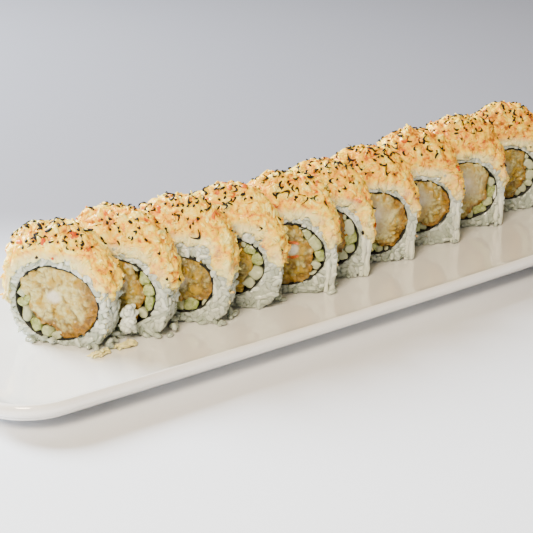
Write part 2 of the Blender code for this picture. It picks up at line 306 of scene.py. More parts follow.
def flattened(vectors, normals):
    """Vectors turned down to lie along the surface."""
    return unit(vectors - normals * np.sum(vectors * normals, axis=1, keepdims=True))


def lying(normals, rng, lean=0.0):
    """A random direction along the surface for each normal, tipped out of it by up to lean."""
    flat = flattened(unit(rng.normal(size=normals.shape)), normals)
    return unit(flat + normals * rng.uniform(-lean, lean, (len(normals), 1)))


# %% [markdown]
# Shader sums as Python
#
# A material is mostly sums: a mask times a colour, plus a bit of grain. The small class below wraps
# one socket, so that these sums are written with the usual signs and each sign adds a Math node. One
# method makes any other node from its settings and its inputs.

# %% The socket class


class Wire:
    """A number or colour in a material, from a node's output."""

    def __init__(self, tree, socket):
        self.tree = tree
        self.socket = socket

    def node(self, kind, settings=None, **inputs):
        """A node of any type. Settings go on the node first; inputs go by socket name or number."""
        made = self.tree.nodes.new(kind)
        for label, value in (settings or {}).items():
            if label == "stops":
                fill_ramp(made.color_ramp, value)
            else:
                setattr(made, label, value)
        for label, value in inputs.items():
            key = int(label[1:]) if label[0] == "i" and label[1:].isdigit() else label.replace("_", " ")
            feed(self.tree, made.inputs[key], value)
        return Wire(self.tree, next(s for s in made.outputs if s.enabled))

    def math(self, operation, other=0.0, swap=False):
        """This wire and the other as the two inputs of a Math node, the other one first if swapped."""
        pair = (other, self) if swap else (self, other)
        return self.node("ShaderNodeMath", {"operation": operation}, i0=pair[0], i1=pair[1])

    def __add__(self, other):
        return self.math("ADD", other)

    __radd__ = __add__

    def __mul__(self, other):
        return self.math("MULTIPLY", other)

    __rmul__ = __mul__

    def __sub__(self, other):
        return self.math("SUBTRACT", other)

    def __rsub__(self, other):
        return self.math("SUBTRACT", other, swap=True)

    def clamp(self):
        """The number held between 0 and 1."""
        return self.node("ShaderNodeClamp", None, Value=self)

    def step(self, low, high):
        """A smooth rise from 0 at low to 1 at high."""
        settings = {"interpolation_type": "SMOOTHSTEP"}
        return self.node("ShaderNodeMapRange", settings, Value=self, From_Min=low, From_Max=high)

    def mix(self, first, second):
        """The first colour where this number is 0 and the second where it is 1."""
        return self.node("ShaderNodeMix", {"data_type": "RGBA"}, i0=self, i6=first, i7=second)


def feed(tree, socket, value):
    """Link a wire to a socket, or set a plain value on it; a colour gets its fourth number."""
    if isinstance(value, Wire):
        tree.links.new(value.socket, socket)
    elif isinstance(value, tuple) and len(value) == 3 and socket.type == "RGBA":
        socket.default_value = (*value, 1.0)
    else:
        socket.default_value = value


def fill_ramp(ramp, stops):
    """Set a ramp's stops, each a position from 0 to 1 and a colour."""
    while len(ramp.elements) < len(stops):
        ramp.elements.new(1.0)
    for element, (position, colour) in zip(ramp.elements, stops):
        element.position = position
        element.color = (*colour, 1.0)


def srgb(red, green, blue):
    """A colour as a screen shows it, 0 to 255, turned into the light that the shader wants."""
    share = np.array([red, green, blue]) / 255
    light = np.where(share <= 0.04045, share / 12.92, ((share + 0.055) / 1.055) ** 2.4)
    return tuple(float(v) for v in light)


class Finish:
    """A material: its shader, and the wires that start from the piece itself."""

    def __init__(self, name, **fixed):
        self.material = bpy.data.materials.new(name)
        self.material.use_nodes = True
        self.tree = self.material.node_tree
        self.shader = self.tree.nodes["Principled BSDF"]
        for label, value in fixed.items():
            feed(self.tree, self.shader.inputs[label.replace("_", " ")], value)
        self.place = self.start("ShaderNodeTexCoord", "Object")

    def start(self, kind, output, **settings):
        """A wire from a node that has no inputs of its own."""
        made = self.tree.nodes.new(kind)
        for label, value in settings.items():
            setattr(made, label, value)
        return Wire(self.tree, made.outputs[output])

    def value(self, label):
        """A number that the mesh holds for each point."""
        return self.start("ShaderNodeAttribute", "Fac", attribute_name=label)

    def grain(self, size, detail=3.0, roughness=0.55):
        """Noise from 0 to 1 with lumps about as wide as size."""
        return self.place.node("ShaderNodeTexNoise", None, Vector=self.place, Scale=1 / size,
                               Detail=detail, Roughness=roughness)

    def cells(self, size):
        """Distance to the middle of the nearest cell, for pits and crumbs about as wide as size."""
        return self.place.node("ShaderNodeTexVoronoi", None, Vector=self.place, Scale=1 / size)

    def set(self, **wires):
        """Wires or plain values for the shader's sockets, by name."""
        for label, wire in wires.items():
            feed(self.tree, self.shader.inputs[label.replace("_", " ")], wire)

    def bump(self, height, distance, strength=1.0):
        """Shading as if the surface rose by height times distance."""
        self.set(Normal=height.node("ShaderNodeBump", None, Height=height, Distance=distance,
                                    Strength=strength))


# %% [markdown]
# Finishes of the food
#
# Cooked rice is white but lets light in, so it gets subsurface light and a damp gloss, with painted
# shade that makes it greyer in the hollows between grains and darker near the plate. Dressing that
# has run down over it is smoother and wetter still. The topping is crab shredded fine in the same
# dressing: cream and peach with golden patches, painted shade in the creases between lumps and on
# the farther slices, and a few orange stains. The batter goes from straw to brown, with prawn meat
# showing pale in it, a painted highlight at its heart and painted shade on the slices that their
# neighbours shade. Bright light washes colours out on the way to the screen, so the colours here
# are stronger than those of the finished picture.

# %% Rice, seaweed and cucumber


def rice_finish():
    """From clear grey to white by the tint, which carries painted shade too, plus fine noise."""
    finish = Finish("rice", Roughness=0.26, Subsurface_Weight=0.5, Subsurface_Scale=0.0011,
                    Subsurface_Radius=(1.0, 1.0, 0.9), Specular_IOR_Level=0.5, Coat_Weight=0.8,
                    Coat_Roughness=0.06)
    tint = finish.value("tint")
    clear, white = srgb(132, 144, 126), srgb(224, 231, 220)
    body = (tint * 0.7 + finish.grain(1.6 * MM) * 0.5 - 0.1).clamp().mix(clear, white)
    finish.set(Base_Color=body)
    finish.bump(finish.grain(0.7 * MM), 0.14 * MM, 0.6)
    return finish.material


def dressing_finish():
    """Thin pale dressing: wet, with streaks that run down."""
    finish = Finish("dressing", Roughness=0.16, Subsurface_Weight=0.6, Subsurface_Scale=0.0018,
                    Subsurface_Radius=(1.0, 1.0, 0.8), Specular_IOR_Level=0.5, Coat_Weight=0.5,
                    Coat_Roughness=0.06)
    stretched = finish.place.node("ShaderNodeVectorMath", {"operation": "MULTIPLY"}, i0=finish.place,
                                  i1=(1.0, 1.0, 0.22))
    streak = stretched.node("ShaderNodeTexNoise", None, Vector=stretched, Scale=1 / (1.3 * MM), Detail=3.0)
    finish.set(Base_Color=streak.step(0.3, 0.7).mix(srgb(196, 203, 186), srgb(230, 235, 220)))
    finish.bump(streak, 0.12 * MM, 0.4)
    return finish.material


def nori_finish():
    """Nearly black, with fibres that lift both the colour and the roughness."""
    finish = Finish("nori", Specular_IOR_Level=0.3)
    fibres = finish.grain(0.8 * MM, 6.0, 0.7)
    finish.set(Base_Color=fibres.mix(srgb(5, 6, 5), srgb(26, 28, 18)), Roughness=0.4 + fibres * 0.3)
    finish.bump(fibres, 0.15 * MM, 0.7)
    return finish.material


def cucumber_finish():
    """Pale wet flesh, greener where the number says skin, and nearly white where it says pale."""
    finish = Finish("cucumber", Roughness=0.22, Subsurface_Weight=0.4, Subsurface_Scale=0.002,
                    Subsurface_Radius=(0.8, 1.0, 0.5), Specular_IOR_Level=0.3, Coat_Weight=0.15,
                    Coat_Roughness=0.1)
    skin, pale, wet = finish.value("skin"), finish.value("pale"), finish.grain(1.6 * MM)
    flesh = wet.step(0.3, 0.7).mix(srgb(120, 132, 64), srgb(178, 186, 124))
    flesh = (pale * 0.9 + wet * 0.2 - 0.1).clamp().mix(flesh, srgb(176, 180, 150))
    finish.set(Base_Color=skin.step(0.75, 1.1).mix(flesh, srgb(132, 156, 62)))
    finish.bump(wet, 0.25 * MM, 0.7)
    return finish.material


# %% Prawn and topping


def prawn_finish():
    """Batter from straw to gold to brown, white meat and orange skin, by the mesh's own numbers."""
    finish = Finish("prawn", Subsurface_Weight=0.2, Subsurface_Scale=0.001,
                    Subsurface_Radius=(1.0, 0.7, 0.4), Specular_IOR_Level=0.25, Coat_Weight=0.3,
                    Coat_Roughness=0.12)
    crust, meat, skin = finish.value("crust"), finish.value("meat"), finish.value("skin")
    pit, fried = finish.value("pit"), finish.value("fried")
    crumb = finish.cells(1.3 * MM)
    speck, blotch = finish.grain(1.7 * MM, 5.0, 0.6), finish.grain(4.2 * MM, 3.0)
    # The fried number turns the batter from pale straw to a darker gold: partly frying, partly painted
    # shade on the slices that their neighbours shade.
    pale = speck.step(0.25, 0.75).mix(srgb(178, 162, 84), srgb(206, 204, 148))
    gold = speck.step(0.3, 0.7).mix(srgb(84, 72, 22), srgb(140, 124, 62))
    straw = (fried + (blotch - 0.5) * 1.8).step(0.1, 0.9).mix(pale, gold)
    straw = (blotch.step(0.42, 0.62) * 0.75).mix(straw, srgb(172, 138, 0))
    brown = speck.step(0.3, 0.7).mix(srgb(92, 62, 0), srgb(160, 114, 0))
    golden_and_shade = (crust + (speck - 0.5) * 0.6 + (blotch - 0.5) * 1.2).step(0.25, 1.05).mix(straw, brown)
    # The meat is light on the first slice and greyer on the others, partly painted shade from the slice in
    # front.
    light = srgb(210, 206, 188)
    grey = finish.grain(2.2 * MM).mix(srgb(140, 130, 98), srgb(168, 162, 136))
    # Painted highlight: the heart of the meat is lighter.
    grey = (meat.step(0.6, 1.2) * 0.9).mix(grey, srgb(200, 193, 172))
    white = fried.step(0.0, 0.4).mix(light, grey)
    body = (meat + (speck - 0.5) * 0.3).step(0.0, 1.1).mix(golden_and_shade, white)
    body = (skin + (speck - 0.5) * 0.9).step(0.45, 0.95).mix(body, srgb(206, 92, 0))
    # Painted shade: the low parts of the bumps are darker.
    body = (pit * 0.75).clamp().mix(body, srgb(96, 68, 6))
    finish.set(Base_Color=body, Roughness=0.3 + speck * 0.3)
    finish.bump(crumb * 0.5 + speck * 1.0, 0.5 * MM, 0.8)
    return finish.material


def topping_finish():
    """Cream, peach and gold by each shred's own number and by blotches, with orange stains."""
    finish = Finish("topping", Subsurface_Weight=0.25, Subsurface_Scale=0.0008,
                    Subsurface_Radius=(1.0, 0.6, 0.3), Specular_IOR_Level=0.22, Coat_Weight=0.22,
                    Coat_Roughness=0.08)
    tint, low, pit = finish.value("tint"), finish.value("low"), finish.value("pit")
    blotch, fine = finish.grain(5.0 * MM, 3.0), finish.grain(1.0 * MM, 4.0, 0.6)
    mid = finish.grain(2.3 * MM, 3.0)
    # The crease number pushes the creases between lumps toward darker gold: painted shade.
    mixed = (tint * 0.5 + blotch * 1.5 + mid * 1.1 + fine * 0.3 + pit * 0.4 - 1.42).clamp()
    stops = [(0.0, srgb(255, 236, 130)), (0.3, srgb(255, 208, 24)), (0.62, srgb(246, 168, 0)),
             (0.95, srgb(156, 90, 0))]
    body = finish.place.node("ShaderNodeValToRGB", {"stops": stops}, Fac=mixed)
    stain = finish.grain(5.0 * MM, 4.0, 0.6).step(0.615, 0.665)
    body = (stain * 0.9).mix(body, srgb(196, 78, 0))
    dent = finish.grain(2.6 * MM, 2.0).step(0.62, 0.7)
    body = (dent * 0.8).mix(body, srgb(150, 96, 0))
    body = (low + (fine - 0.5) * 0.5).clamp().mix(body, srgb(230, 222, 160))
    finish.set(Base_Color=body, Roughness=0.25 + fine * 0.3)
    finish.bump(fine * 0.6 + mid * 0.8, 0.7 * MM, 0.8)
    return finish.material


def orange_finish():
    """From deep to light orange by each fleck's own shade."""
    finish = Finish("orange_bits", Subsurface_Weight=0.25, Subsurface_Scale=0.001,
                    Subsurface_Radius=(1.0, 0.4, 0.2), Specular_IOR_Level=0.2, Coat_Weight=0.1,
                    Coat_Roughness=0.1)
    tint = finish.value("tint")
    finish.set(Base_Color=tint.mix(srgb(190, 68, 0), srgb(214, 112, 0)), Roughness=0.3 + tint * 0.1)
    finish.bump(finish.grain(0.5 * MM), 0.1 * MM, 0.5)
    return finish.material


def thread_finish():
    """Black with fine fibres that make it a little browner and rougher."""
    finish = Finish("seaweed_threads", Specular_IOR_Level=0.25)
    fibres = finish.grain(0.3 * MM, 4.0, 0.7)
    finish.set(Base_Color=fibres.mix(srgb(6, 6, 6), srgb(26, 22, 16)), Roughness=0.45 + fibres * 0.2)
    finish.bump(fibres, 0.05 * MM, 0.5)
    return finish.material


RICE, NORI, CUCUMBER = rice_finish(), nori_finish(), cucumber_finish()
DRESSING = dressing_finish()
PRAWN, TOPPING = prawn_finish(), topping_finish()
ORANGE, THREAD = orange_finish(), thread_finish()
finishes = (RICE, DRESSING, NORI, CUCUMBER, PRAWN, TOPPING, ORANGE, THREAD)
print("food finishes:", [finish.name for finish in finishes])

# %% [markdown]
# Outlines shared by the layers
#
# The block of rice is a squarish oval, flat underneath, and the seaweed a rounder one inside it.
# Both are radii as a function of the angle round the slice. The layers that fit against each other
# all read these two functions, which are the ones that the solids were made with.

# %% Outlines
RICE_WIDTH = 45 * MM
RICE_HEIGHT = 40 * MM
SQUARENESS = 2.7


def rice_radius(angle, grow=0.0):
    """One over the root sum of the squareness powers of cos/half width and sin/half height."""
    half_a = RICE_WIDTH / 2 + grow
    half_c = RICE_HEIGHT / 2 + 1.2 * MM + grow
    total = (np.abs(np.cos(angle)) / half_a) ** SQUARENESS + (np.abs(np.sin(angle)) / half_c) ** SQUARENESS
    return total ** (-1 / SQUARENESS)


def rice_section(angle, radius):
    """A point at an angle and radius round the middle of the rice, no lower than the plate."""
    return radius * np.cos(angle), np.maximum(RICE_MIDDLE + radius * np.sin(angle), 0.3 * MM)


def ring_radius(one, angle):
    """An oval with a slight three-cornered squash."""
    oval = 1 / np.hypot(np.cos(angle) / (one["ring_w"] / 2), np.sin(angle) / (one["ring_h"] / 2))
    return oval * (1 + 0.018 * np.cos(3 * angle + 1.7 * (one["k"] - 1)))


def smooth(value, low, high):
    """A rise from 0 at low to 1 at high with no corners."""
    share = np.clip((value - low) / (high - low), 0, 1)
    return share * share * (3 - 2 * share)


def lip_drop(one, angle):
    """How far the topping hangs down over the cut face: waves, and a tongue on the right shoulder."""
    k = one["k"]
    tongue = np.exp(-((np.degrees(angle) - 26) / 15) ** 2) * (0.45 if k == 1 else 1.0)
    waves = noise(np.stack([angle * 9, angle * 0, angle * 0 + k], -1), 1.0, 9)
    drop = (3.2 + 1.8 * waves + 5 * tongue) * MM
    drop = drop * smooth(angle, math.radians(2), math.radians(20))
    drop = drop * smooth(-angle, -math.radians(182), -math.radians(160))
    ring_edge = ring_radius(one, angle) + (one["ring_c"] - RICE_MIDDLE) * np.sin(angle)
    band = (3.6 if k == 1 else 2.5) * MM
    return np.clip(drop, 0, np.maximum(rice_radius(angle) - ring_edge - band, 0))


print("block mm:", round(RICE_WIDTH / MM, 1), "wide,", round(RICE_HEIGHT / MM, 1), "high")

# %% [markdown]
# Rice
#
# The rice of a roll is grains pressed together: whole ones on the outside, cut ones on the faces.
# A bumpy texture alone looks like plaster, so the block is a plain core, set back a little, with
# real grains laid on it. A grain is a short fat tube with rounded ends. Grains are dropped at
# random on the core, thinned so that they don't pile up, and turned to lie along the surface. Those
# that the topping would cover are left out. On the farther slices the dressing has run down the
# right of the face in two thick streaks, which are a piece of their own.

# %% Grains of rice
GRAIN_LENGTH = 5.6 * MM
GRAIN_WIDTH = 2.5 * MM
GRAIN_ROWS, GRAIN_COLS = 5, 8
FIRST_DRESSED = 5


def grains(places, along, up, rng, length=GRAIN_LENGTH, width=GRAIN_WIDTH):
    """Rounded tubes: the girth at t is the root of 1 - (2t - 1) squared, and the middle line bends."""
    count = len(places)
    along, up = unit(along), unit(up)
    side = unit(np.cross(along, up))
    up = np.cross(side, along)
    t = (np.arange(GRAIN_ROWS) + 0.6) / (GRAIN_ROWS + 0.2)
    girth = np.sqrt(1 - (2 * t - 1) ** 2) ** 0.8
    around = circle(GRAIN_COLS)
    long = length * rng.uniform(0.78, 1.12, count)
    wide = width * rng.uniform(0.82, 1.12, count)
    bend = rng.uniform(-0.12, 0.12, count) * long
    axis = places[:, None] + along[:, None] * ((t - 0.5) * long[:, None])[..., None]
    axis += side[:, None] * ((girth - 0.5) * bend[:, None])[..., None]
    spread_side = (wide[:, None] * girth / 2)[..., None] * np.cos(around)
    spread_up = (wide[:, None] * girth / 2 * 0.82)[..., None] * np.sin(around)
    rings = axis[:, :, None] + side[:, None, None] * spread_side[..., None]
    rings += up[:, None, None] * spread_up[..., None]
    first = places - along * (long * 0.5)[:, None]
    last = places + along * (long * 0.5)[:, None]
    return many(tube_points(rings, first, last), tube_faces(GRAIN_ROWS, GRAIN_COLS))


def wetness(angle):
    """1 on the right-hand side of a slice, where dressing has run down over the rice, 0 elsewhere."""
    return smooth(angle, -1.35, -0.9) * smooth(-angle, -0.75, -0.4)


def rice_core(one):
    """The block as a ring: from one face to the other outside the slice, and back through its hole.

    Where it is dry its surface is lumpy, and where it is wet it has streaks that run down.
    """
    cols = 150
    angle = circle(cols)
    wet = wetness((angle + math.pi) % math.tau - math.pi)
    depth = one["depth"]
    outer = rice_radius(angle) - (1.3 - 1.0 * wet) * MM
    inner = ring_radius(one, angle) + 0.05 * MM
    oa, oc = rice_section(angle, outer)
    ia, ic = inner * np.cos(angle), one["ring_c"] + inner * np.sin(angle)
    # 14 rows over the wall, 9 down the back, 3 through the hole and 8 up the front
    inwards = np.concatenate([np.zeros(14), np.linspace(0, 1, 10)[1:], np.ones(3),
                              np.linspace(1, 0, 10)[1:-1]])[:, None]
    along = np.concatenate([np.linspace(0, 1, 14), np.ones(9), np.linspace(1, 0, 5)[1:-1],
                            np.zeros(8)])[:, None]
    inset = (0.95 - 0.7 * wet) * MM * (1 - 0.85 * inwards)
    b = inset + (depth - 2 * inset) * along
    a = oa + (ia - oa) * inwards
    c = oc + (ic - oc) * inwards
    points = to_world(one, a, b, c).reshape(-1, 3)
    faces = outward(points, ring_faces(len(inwards), cols))
    long_cells = np.stack([a / (2.2 * MM), b / (2.2 * MM), c / (9 * MM)], axis=-1)
    streak = noise(long_cells.reshape(-1, 3), 1.0, 3) * 0.5
    plain = rough(points, 3.5 * MM, one["k"]) * 0.35
    mixed = np.tile(wet, len(inwards))
    lift = (streak * mixed + plain * (1 - mixed)) * MM
    points = points + normals_of(points, faces) * lift[:, None]
    points[:, 2] = np.maximum(points[:, 2], WELL + 0.3 * MM)
    return points, faces


def packed_grains(one, core, rng):
    """Grains on the core. Those on the faces are cut off at the face, as the knife leaves them."""
    depth = one["depth"]
    places, normals = on_surface(*core, 3600, rng)
    a, b, c, angle, radius = polar_place(one, places)
    ring_angle = np.arctan2(c - one["ring_c"], a)
    in_ring = np.hypot(a, c - one["ring_c"]) < ring_radius(one, ring_angle) + 0.4 * MM
    on_wall = (b > 1.5 * MM) & (b < depth - 1.5 * MM)
    covered = on_wall & (angle > math.radians(20)) & (angle < math.radians(176))
    lip = radius > rice_radius(angle) - lip_drop(one, angle) + 0.6 * MM
    covered |= lip & (b < 3 * MM) & (angle > 0.1)
    bare_share = 0.7 if one["k"] >= FIRST_DRESSED else 0.2
    bare = (wetness(angle) > 0.6) & (b < 5 * MM) & (rng.random(len(a)) < bare_share)
    keep = ~in_ring & ~covered & ~bare & (c > 1.3 * MM)
    places, normals, on_wall = places[keep], normals[keep], on_wall[keep]
    chosen = thinned(places, 1.85 * MM)
    places, normals, on_wall = places[chosen], normals[chosen], on_wall[chosen]
    count = len(places)
    sink = np.where(on_wall, rng.uniform(-0.1, 0.6, count), rng.uniform(-0.4, 0.35, count))
    lean = np.where(on_wall, 0.2, 0.5)
    loose = unit(rng.normal(size=normals.shape) + np.array([0, 0, 0.6]) * on_wall[:, None])
    along = unit(flattened(loose, normals) + normals * (rng.uniform(-1, 1, count) * lean)[:, None])
    points, faces = grains(places + normals * sink[:, None] * MM, along, normals, rng)
    a, b, c = slice_place(one, points)
    cut = each_point(rng.uniform(-0.8, -0.15, count), points) * MM
    ring_angle = np.arctan2(c - one["ring_c"], a)
    reach = np.maximum(np.hypot(a, c - one["ring_c"]), ring_radius(one, ring_angle) + 0.12 * MM)
    a, c = reach * np.cos(ring_angle), one["ring_c"] + reach * np.sin(ring_angle)
    points = to_world(one, a, np.clip(b, cut, depth - cut), c)
    return points, faces, each_point(rng.random(count), points), count


def foot_grains(one, rng):
    """Loose grains on the plate along the foot of the front face, the right side and the back."""
    count = 20
    a = rng.uniform(-18, 22, count) * MM
    b = np.where(rng.random(count) < 0.62, rng.uniform(-1.5, 0.6, count) * MM,
                 one["depth"] + rng.uniform(-0.2, 1.8, count) * MM)
    side = rng.random(count) < 0.25
    a = np.where(side, rng.uniform(20.5, 23.5, count) * MM, a)
    b = np.where(side, rng.uniform(0, 1, count) * one["depth"], b)
    c = rng.uniform(0.7, 1.7, count) * MM + (rng.random(count) < 0.4) * 1.6 * MM
    places = to_world(one, a, b, c)
    along = rng.normal(size=(count, 3)) * [1, 1, 0.4]
    up = np.tile([0.0, 0.0, 1.0], (count, 1))
    points, faces = grains(places, along, up, rng, 4.6 * MM, 2.5 * MM)
    return points, faces, each_point(rng.random(count), points)


# Each streak: its middle across the face, half its width and its top, in mm.
STREAKS = [(18.6, 1.9, 27.0), (20.9, 2.1, 28.5)]


def dressing_piece(one):
    """Flat tubes down the right of the face, whose width swells by sines of the height."""
    rows, cols = 30, 18
    t = np.linspace(0, 1, rows)
    foot = 0.4 * t ** 10
    ends = np.sin(math.pi * np.clip(t * 0.94 + 0.03, 0, 1)) ** 0.3
    around = circle(cols)
    k = one["k"]
    parts = []
    for middle, half, top in STREAKS:
        a = (middle + 0.35 * np.sin(5 * t + k) + 0.15 * np.sin(13 * t + middle)) * MM
        b = (0.9 - 0.25 * np.sin(6 * t + k + middle)) * MM
        c = (top - (top - 0.4) * t) * MM
        wide = (half * (0.9 + 0.12 * np.sin(7 * t + k) + 0.08 * np.sin(17 * t + 3 * k)) + foot) * MM
        thick = (1.35 + 0.2 * np.sin(9 * t + 3 * k) + 0.3 * t ** 10) * MM
        rings_a = a[:, None] + (wide * ends)[:, None] * np.cos(around)
        rings_b = b[:, None] + (thick * ends)[:, None] * np.sin(around)
        rings = to_world(one, rings_a, rings_b, np.broadcast_to(c[:, None], rings_a.shape))
        points = tube_points(rings, rings[0].mean(axis=0), rings[-1].mean(axis=0))
        faces = outward(points, tube_faces(rows, cols))
        lift = rough(points, 4.5 * MM, 50 + k) * 0.4 * MM
        parts.append((points + normals_of(points, faces) * lift[:, None], faces))
    points, faces = join(parts)
    points[:, 2] = np.maximum(points[:, 2], WELL + 0.05 * MM)
    made = piece(f"rice_{k}_dressing", points, faces, DRESSING)


def rice_piece(one):
    """Core, packed grains and loose grains as one piece."""
    rng = np.random.default_rng(20 + one["k"])
    core = rice_core(one)
    packed = packed_grains(one, core, rng)
    loose = foot_grains(one, rng)
    # The core's low tint of 0.25 is painted shade in the gaps between the grains.
    layers = [(*core, np.full(len(core[0]), 0.25)), packed[:3], loose]
    points, faces = join([layer[:2] for layer in layers])
    tint = np.concatenate([layer[2] for layer in layers])
    points[:, 2] = np.maximum(points[:, 2], WELL + 0.05 * MM)
    # Painted shade: the tint falls towards the plate, so the lowest 12 mm of rice is darker.
    tint = tint * (0.4 + 0.6 * smooth(points[:, 2] - WELL, 0.0, 12 * MM))
    made = piece(f"rice_{one['k']}_grains", points, faces, RICE, [f"rice_{one['k']}"], tint=tint)
    return packed[3], len(faces)


counts = [rice_piece(one) for one in slices.values()]
for k in range(FIRST_DRESSED, 11):
    dressing_piece(slices[k])
print("packed grains:", sum(n for n, _ in counts), "triangles:", sum(n for _, n in counts))

# %% [markdown]
# Seaweed
#
# The sheet inside the rice is paper-thin and damp, so it crinkles. In the section it is a ring of
# uneven thickness, and its cut edge waves a little in and out of the face. It is a ring grid again:
# outer side, back edge, inner side, front edge.

# %% Seaweed ring


def nori_piece(one):
    """Radius plus two sines for the crinkle; the wall is 0.4 to 0.7 mm thick, by a third sine."""
    cols = 160
    angle = circle(cols)
    depth = one["depth"]
    crinkle = 0.22 * np.sin(11 * angle + one["k"]) + 0.16 * np.sin(23 * angle + 2 * one["k"])
    wall = 0.55 + 0.15 * np.sin(5 * angle + 1.3 * one["k"])
    outer = ring_radius(one, angle) + (crinkle * 0.6 + 0.1) * MM
    inner = outer - np.maximum(wall, 0.4) * MM
    edge = (-0.15 + 0.12 * np.sin(7 * angle + one["k"])) * MM
    shares = [0.0, 0.33, 0.66, 1.0]
    b = np.stack([edge + (depth - 2 * edge) * share for share in shares + shares[::-1]])
    radius = np.stack([outer] * len(shares) + [inner] * len(shares))
    rings = to_world(one, radius * np.cos(angle), b, one["ring_c"] + radius * np.sin(angle))
    points = rings.reshape(-1, 3)
    faces = outward(points, ring_faces(len(radius), cols))
    made = piece(f"nori_{one['k']}_sheet", points, faces, NORI, [f"nori_{one['k']}"])
    return len(faces)


print("seaweed triangles:", sum(nori_piece(one) for one in slices.values()))

# %% [markdown]
# Filling
#
# A battered prawn and a few sticks of cucumber fill the ring. The prawn is a bar from face to face.
# The mesh marks its cut with five numbers: meat in the middle, with a painted highlight at its heart,
# a browned crust at the rim, orange skin over and under the meat, painted shade in the pits of the
# batter, and how fried it is, which also holds painted shade on slices that their neighbours shade.
# The material turns the numbers into colours, with its own grain to break up their edges.

# %% Prawn
STICK_SIDE = 5.6 * MM
# For each slice: how many cucumber sticks it has, and the angle where they start.
STICK_COUNT = [4, 3, 3, 3, 3, 3, 2, 3, 3, 3]
STICK_START = np.radians([176, -35, 222, -40, -22, -50, 235, 200, -62, -48])
NORI_WALL = 0.3 * MM


def stick_band(one):
    """The first angle of the cucumber, the angle that one stick takes, and the number of sticks."""
    start = STICK_START[one["k"] - 1]
    reach = ring_radius(one, start) - NORI_WALL - STICK_SIDE / 2
    return start, STICK_SIDE / reach, STICK_COUNT[one["k"] - 1]


def prawn_radius(one, angle):
    """Out to the seaweed, less a stick's side next to the cucumber, with a smooth change between."""
    start, width, count = stick_band(one)
    half = width * count / 2
    off = np.abs((angle - start - half + math.pi) % math.tau - math.pi)
    ease = smooth(off - half + math.radians(4), 0, math.radians(34))
    return ring_radius(one, angle) - NORI_WALL - STICK_SIDE * 0.92 * (1 - ease)


# For each slice: where the meat and its painted highlight lie (across, up, radius in mm), which way
# the crust is thickest (degrees), how brown it is, how much of the prawn's orange skin shows, and
# how fried the batter is, which also paints shade on the slices that their neighbours shade.
CUTS = {
    1: (-0.5, 3.5, 3.0, -58, 1.35, 0.0, 0.0),
    2: (-0.5, 4.0, 5.5, -30, 0.8, 0.0, 0.6),
    3: (0.0, 2.0, 3.6, -60, 0.8, 0.0, 0.8),
    4: (-6.0, 3.0, 5.0, 170, 0.9, 0.0, 0.85),
    5: (2.0, 2.5, 3.6, -20, 0.8, 1.4, 0.55),
    6: (1.5, 4.0, 5.0, 10, 1.0, 0.0, 0.8),
    7: (-3.5, 3.0, 11.0, -15, 0.9, 0.0, 0.4),
    8: (-3.0, 3.5, 8.0, -50, 1.0, 0.25, 0.6),
    9: (-3.5, 3.5, 11.0, -45, 1.0, 0.0, 0.45),
    10: (-5.0, 3.0, 6.0, -30, 0.9, 0.0, 0.8),
}
# How far the faces of the prawn bulge, in mm.
PLAIN_DOME = 1.1
DOMES = {7: 3.0, 9: 2.6, 8: 2.2}


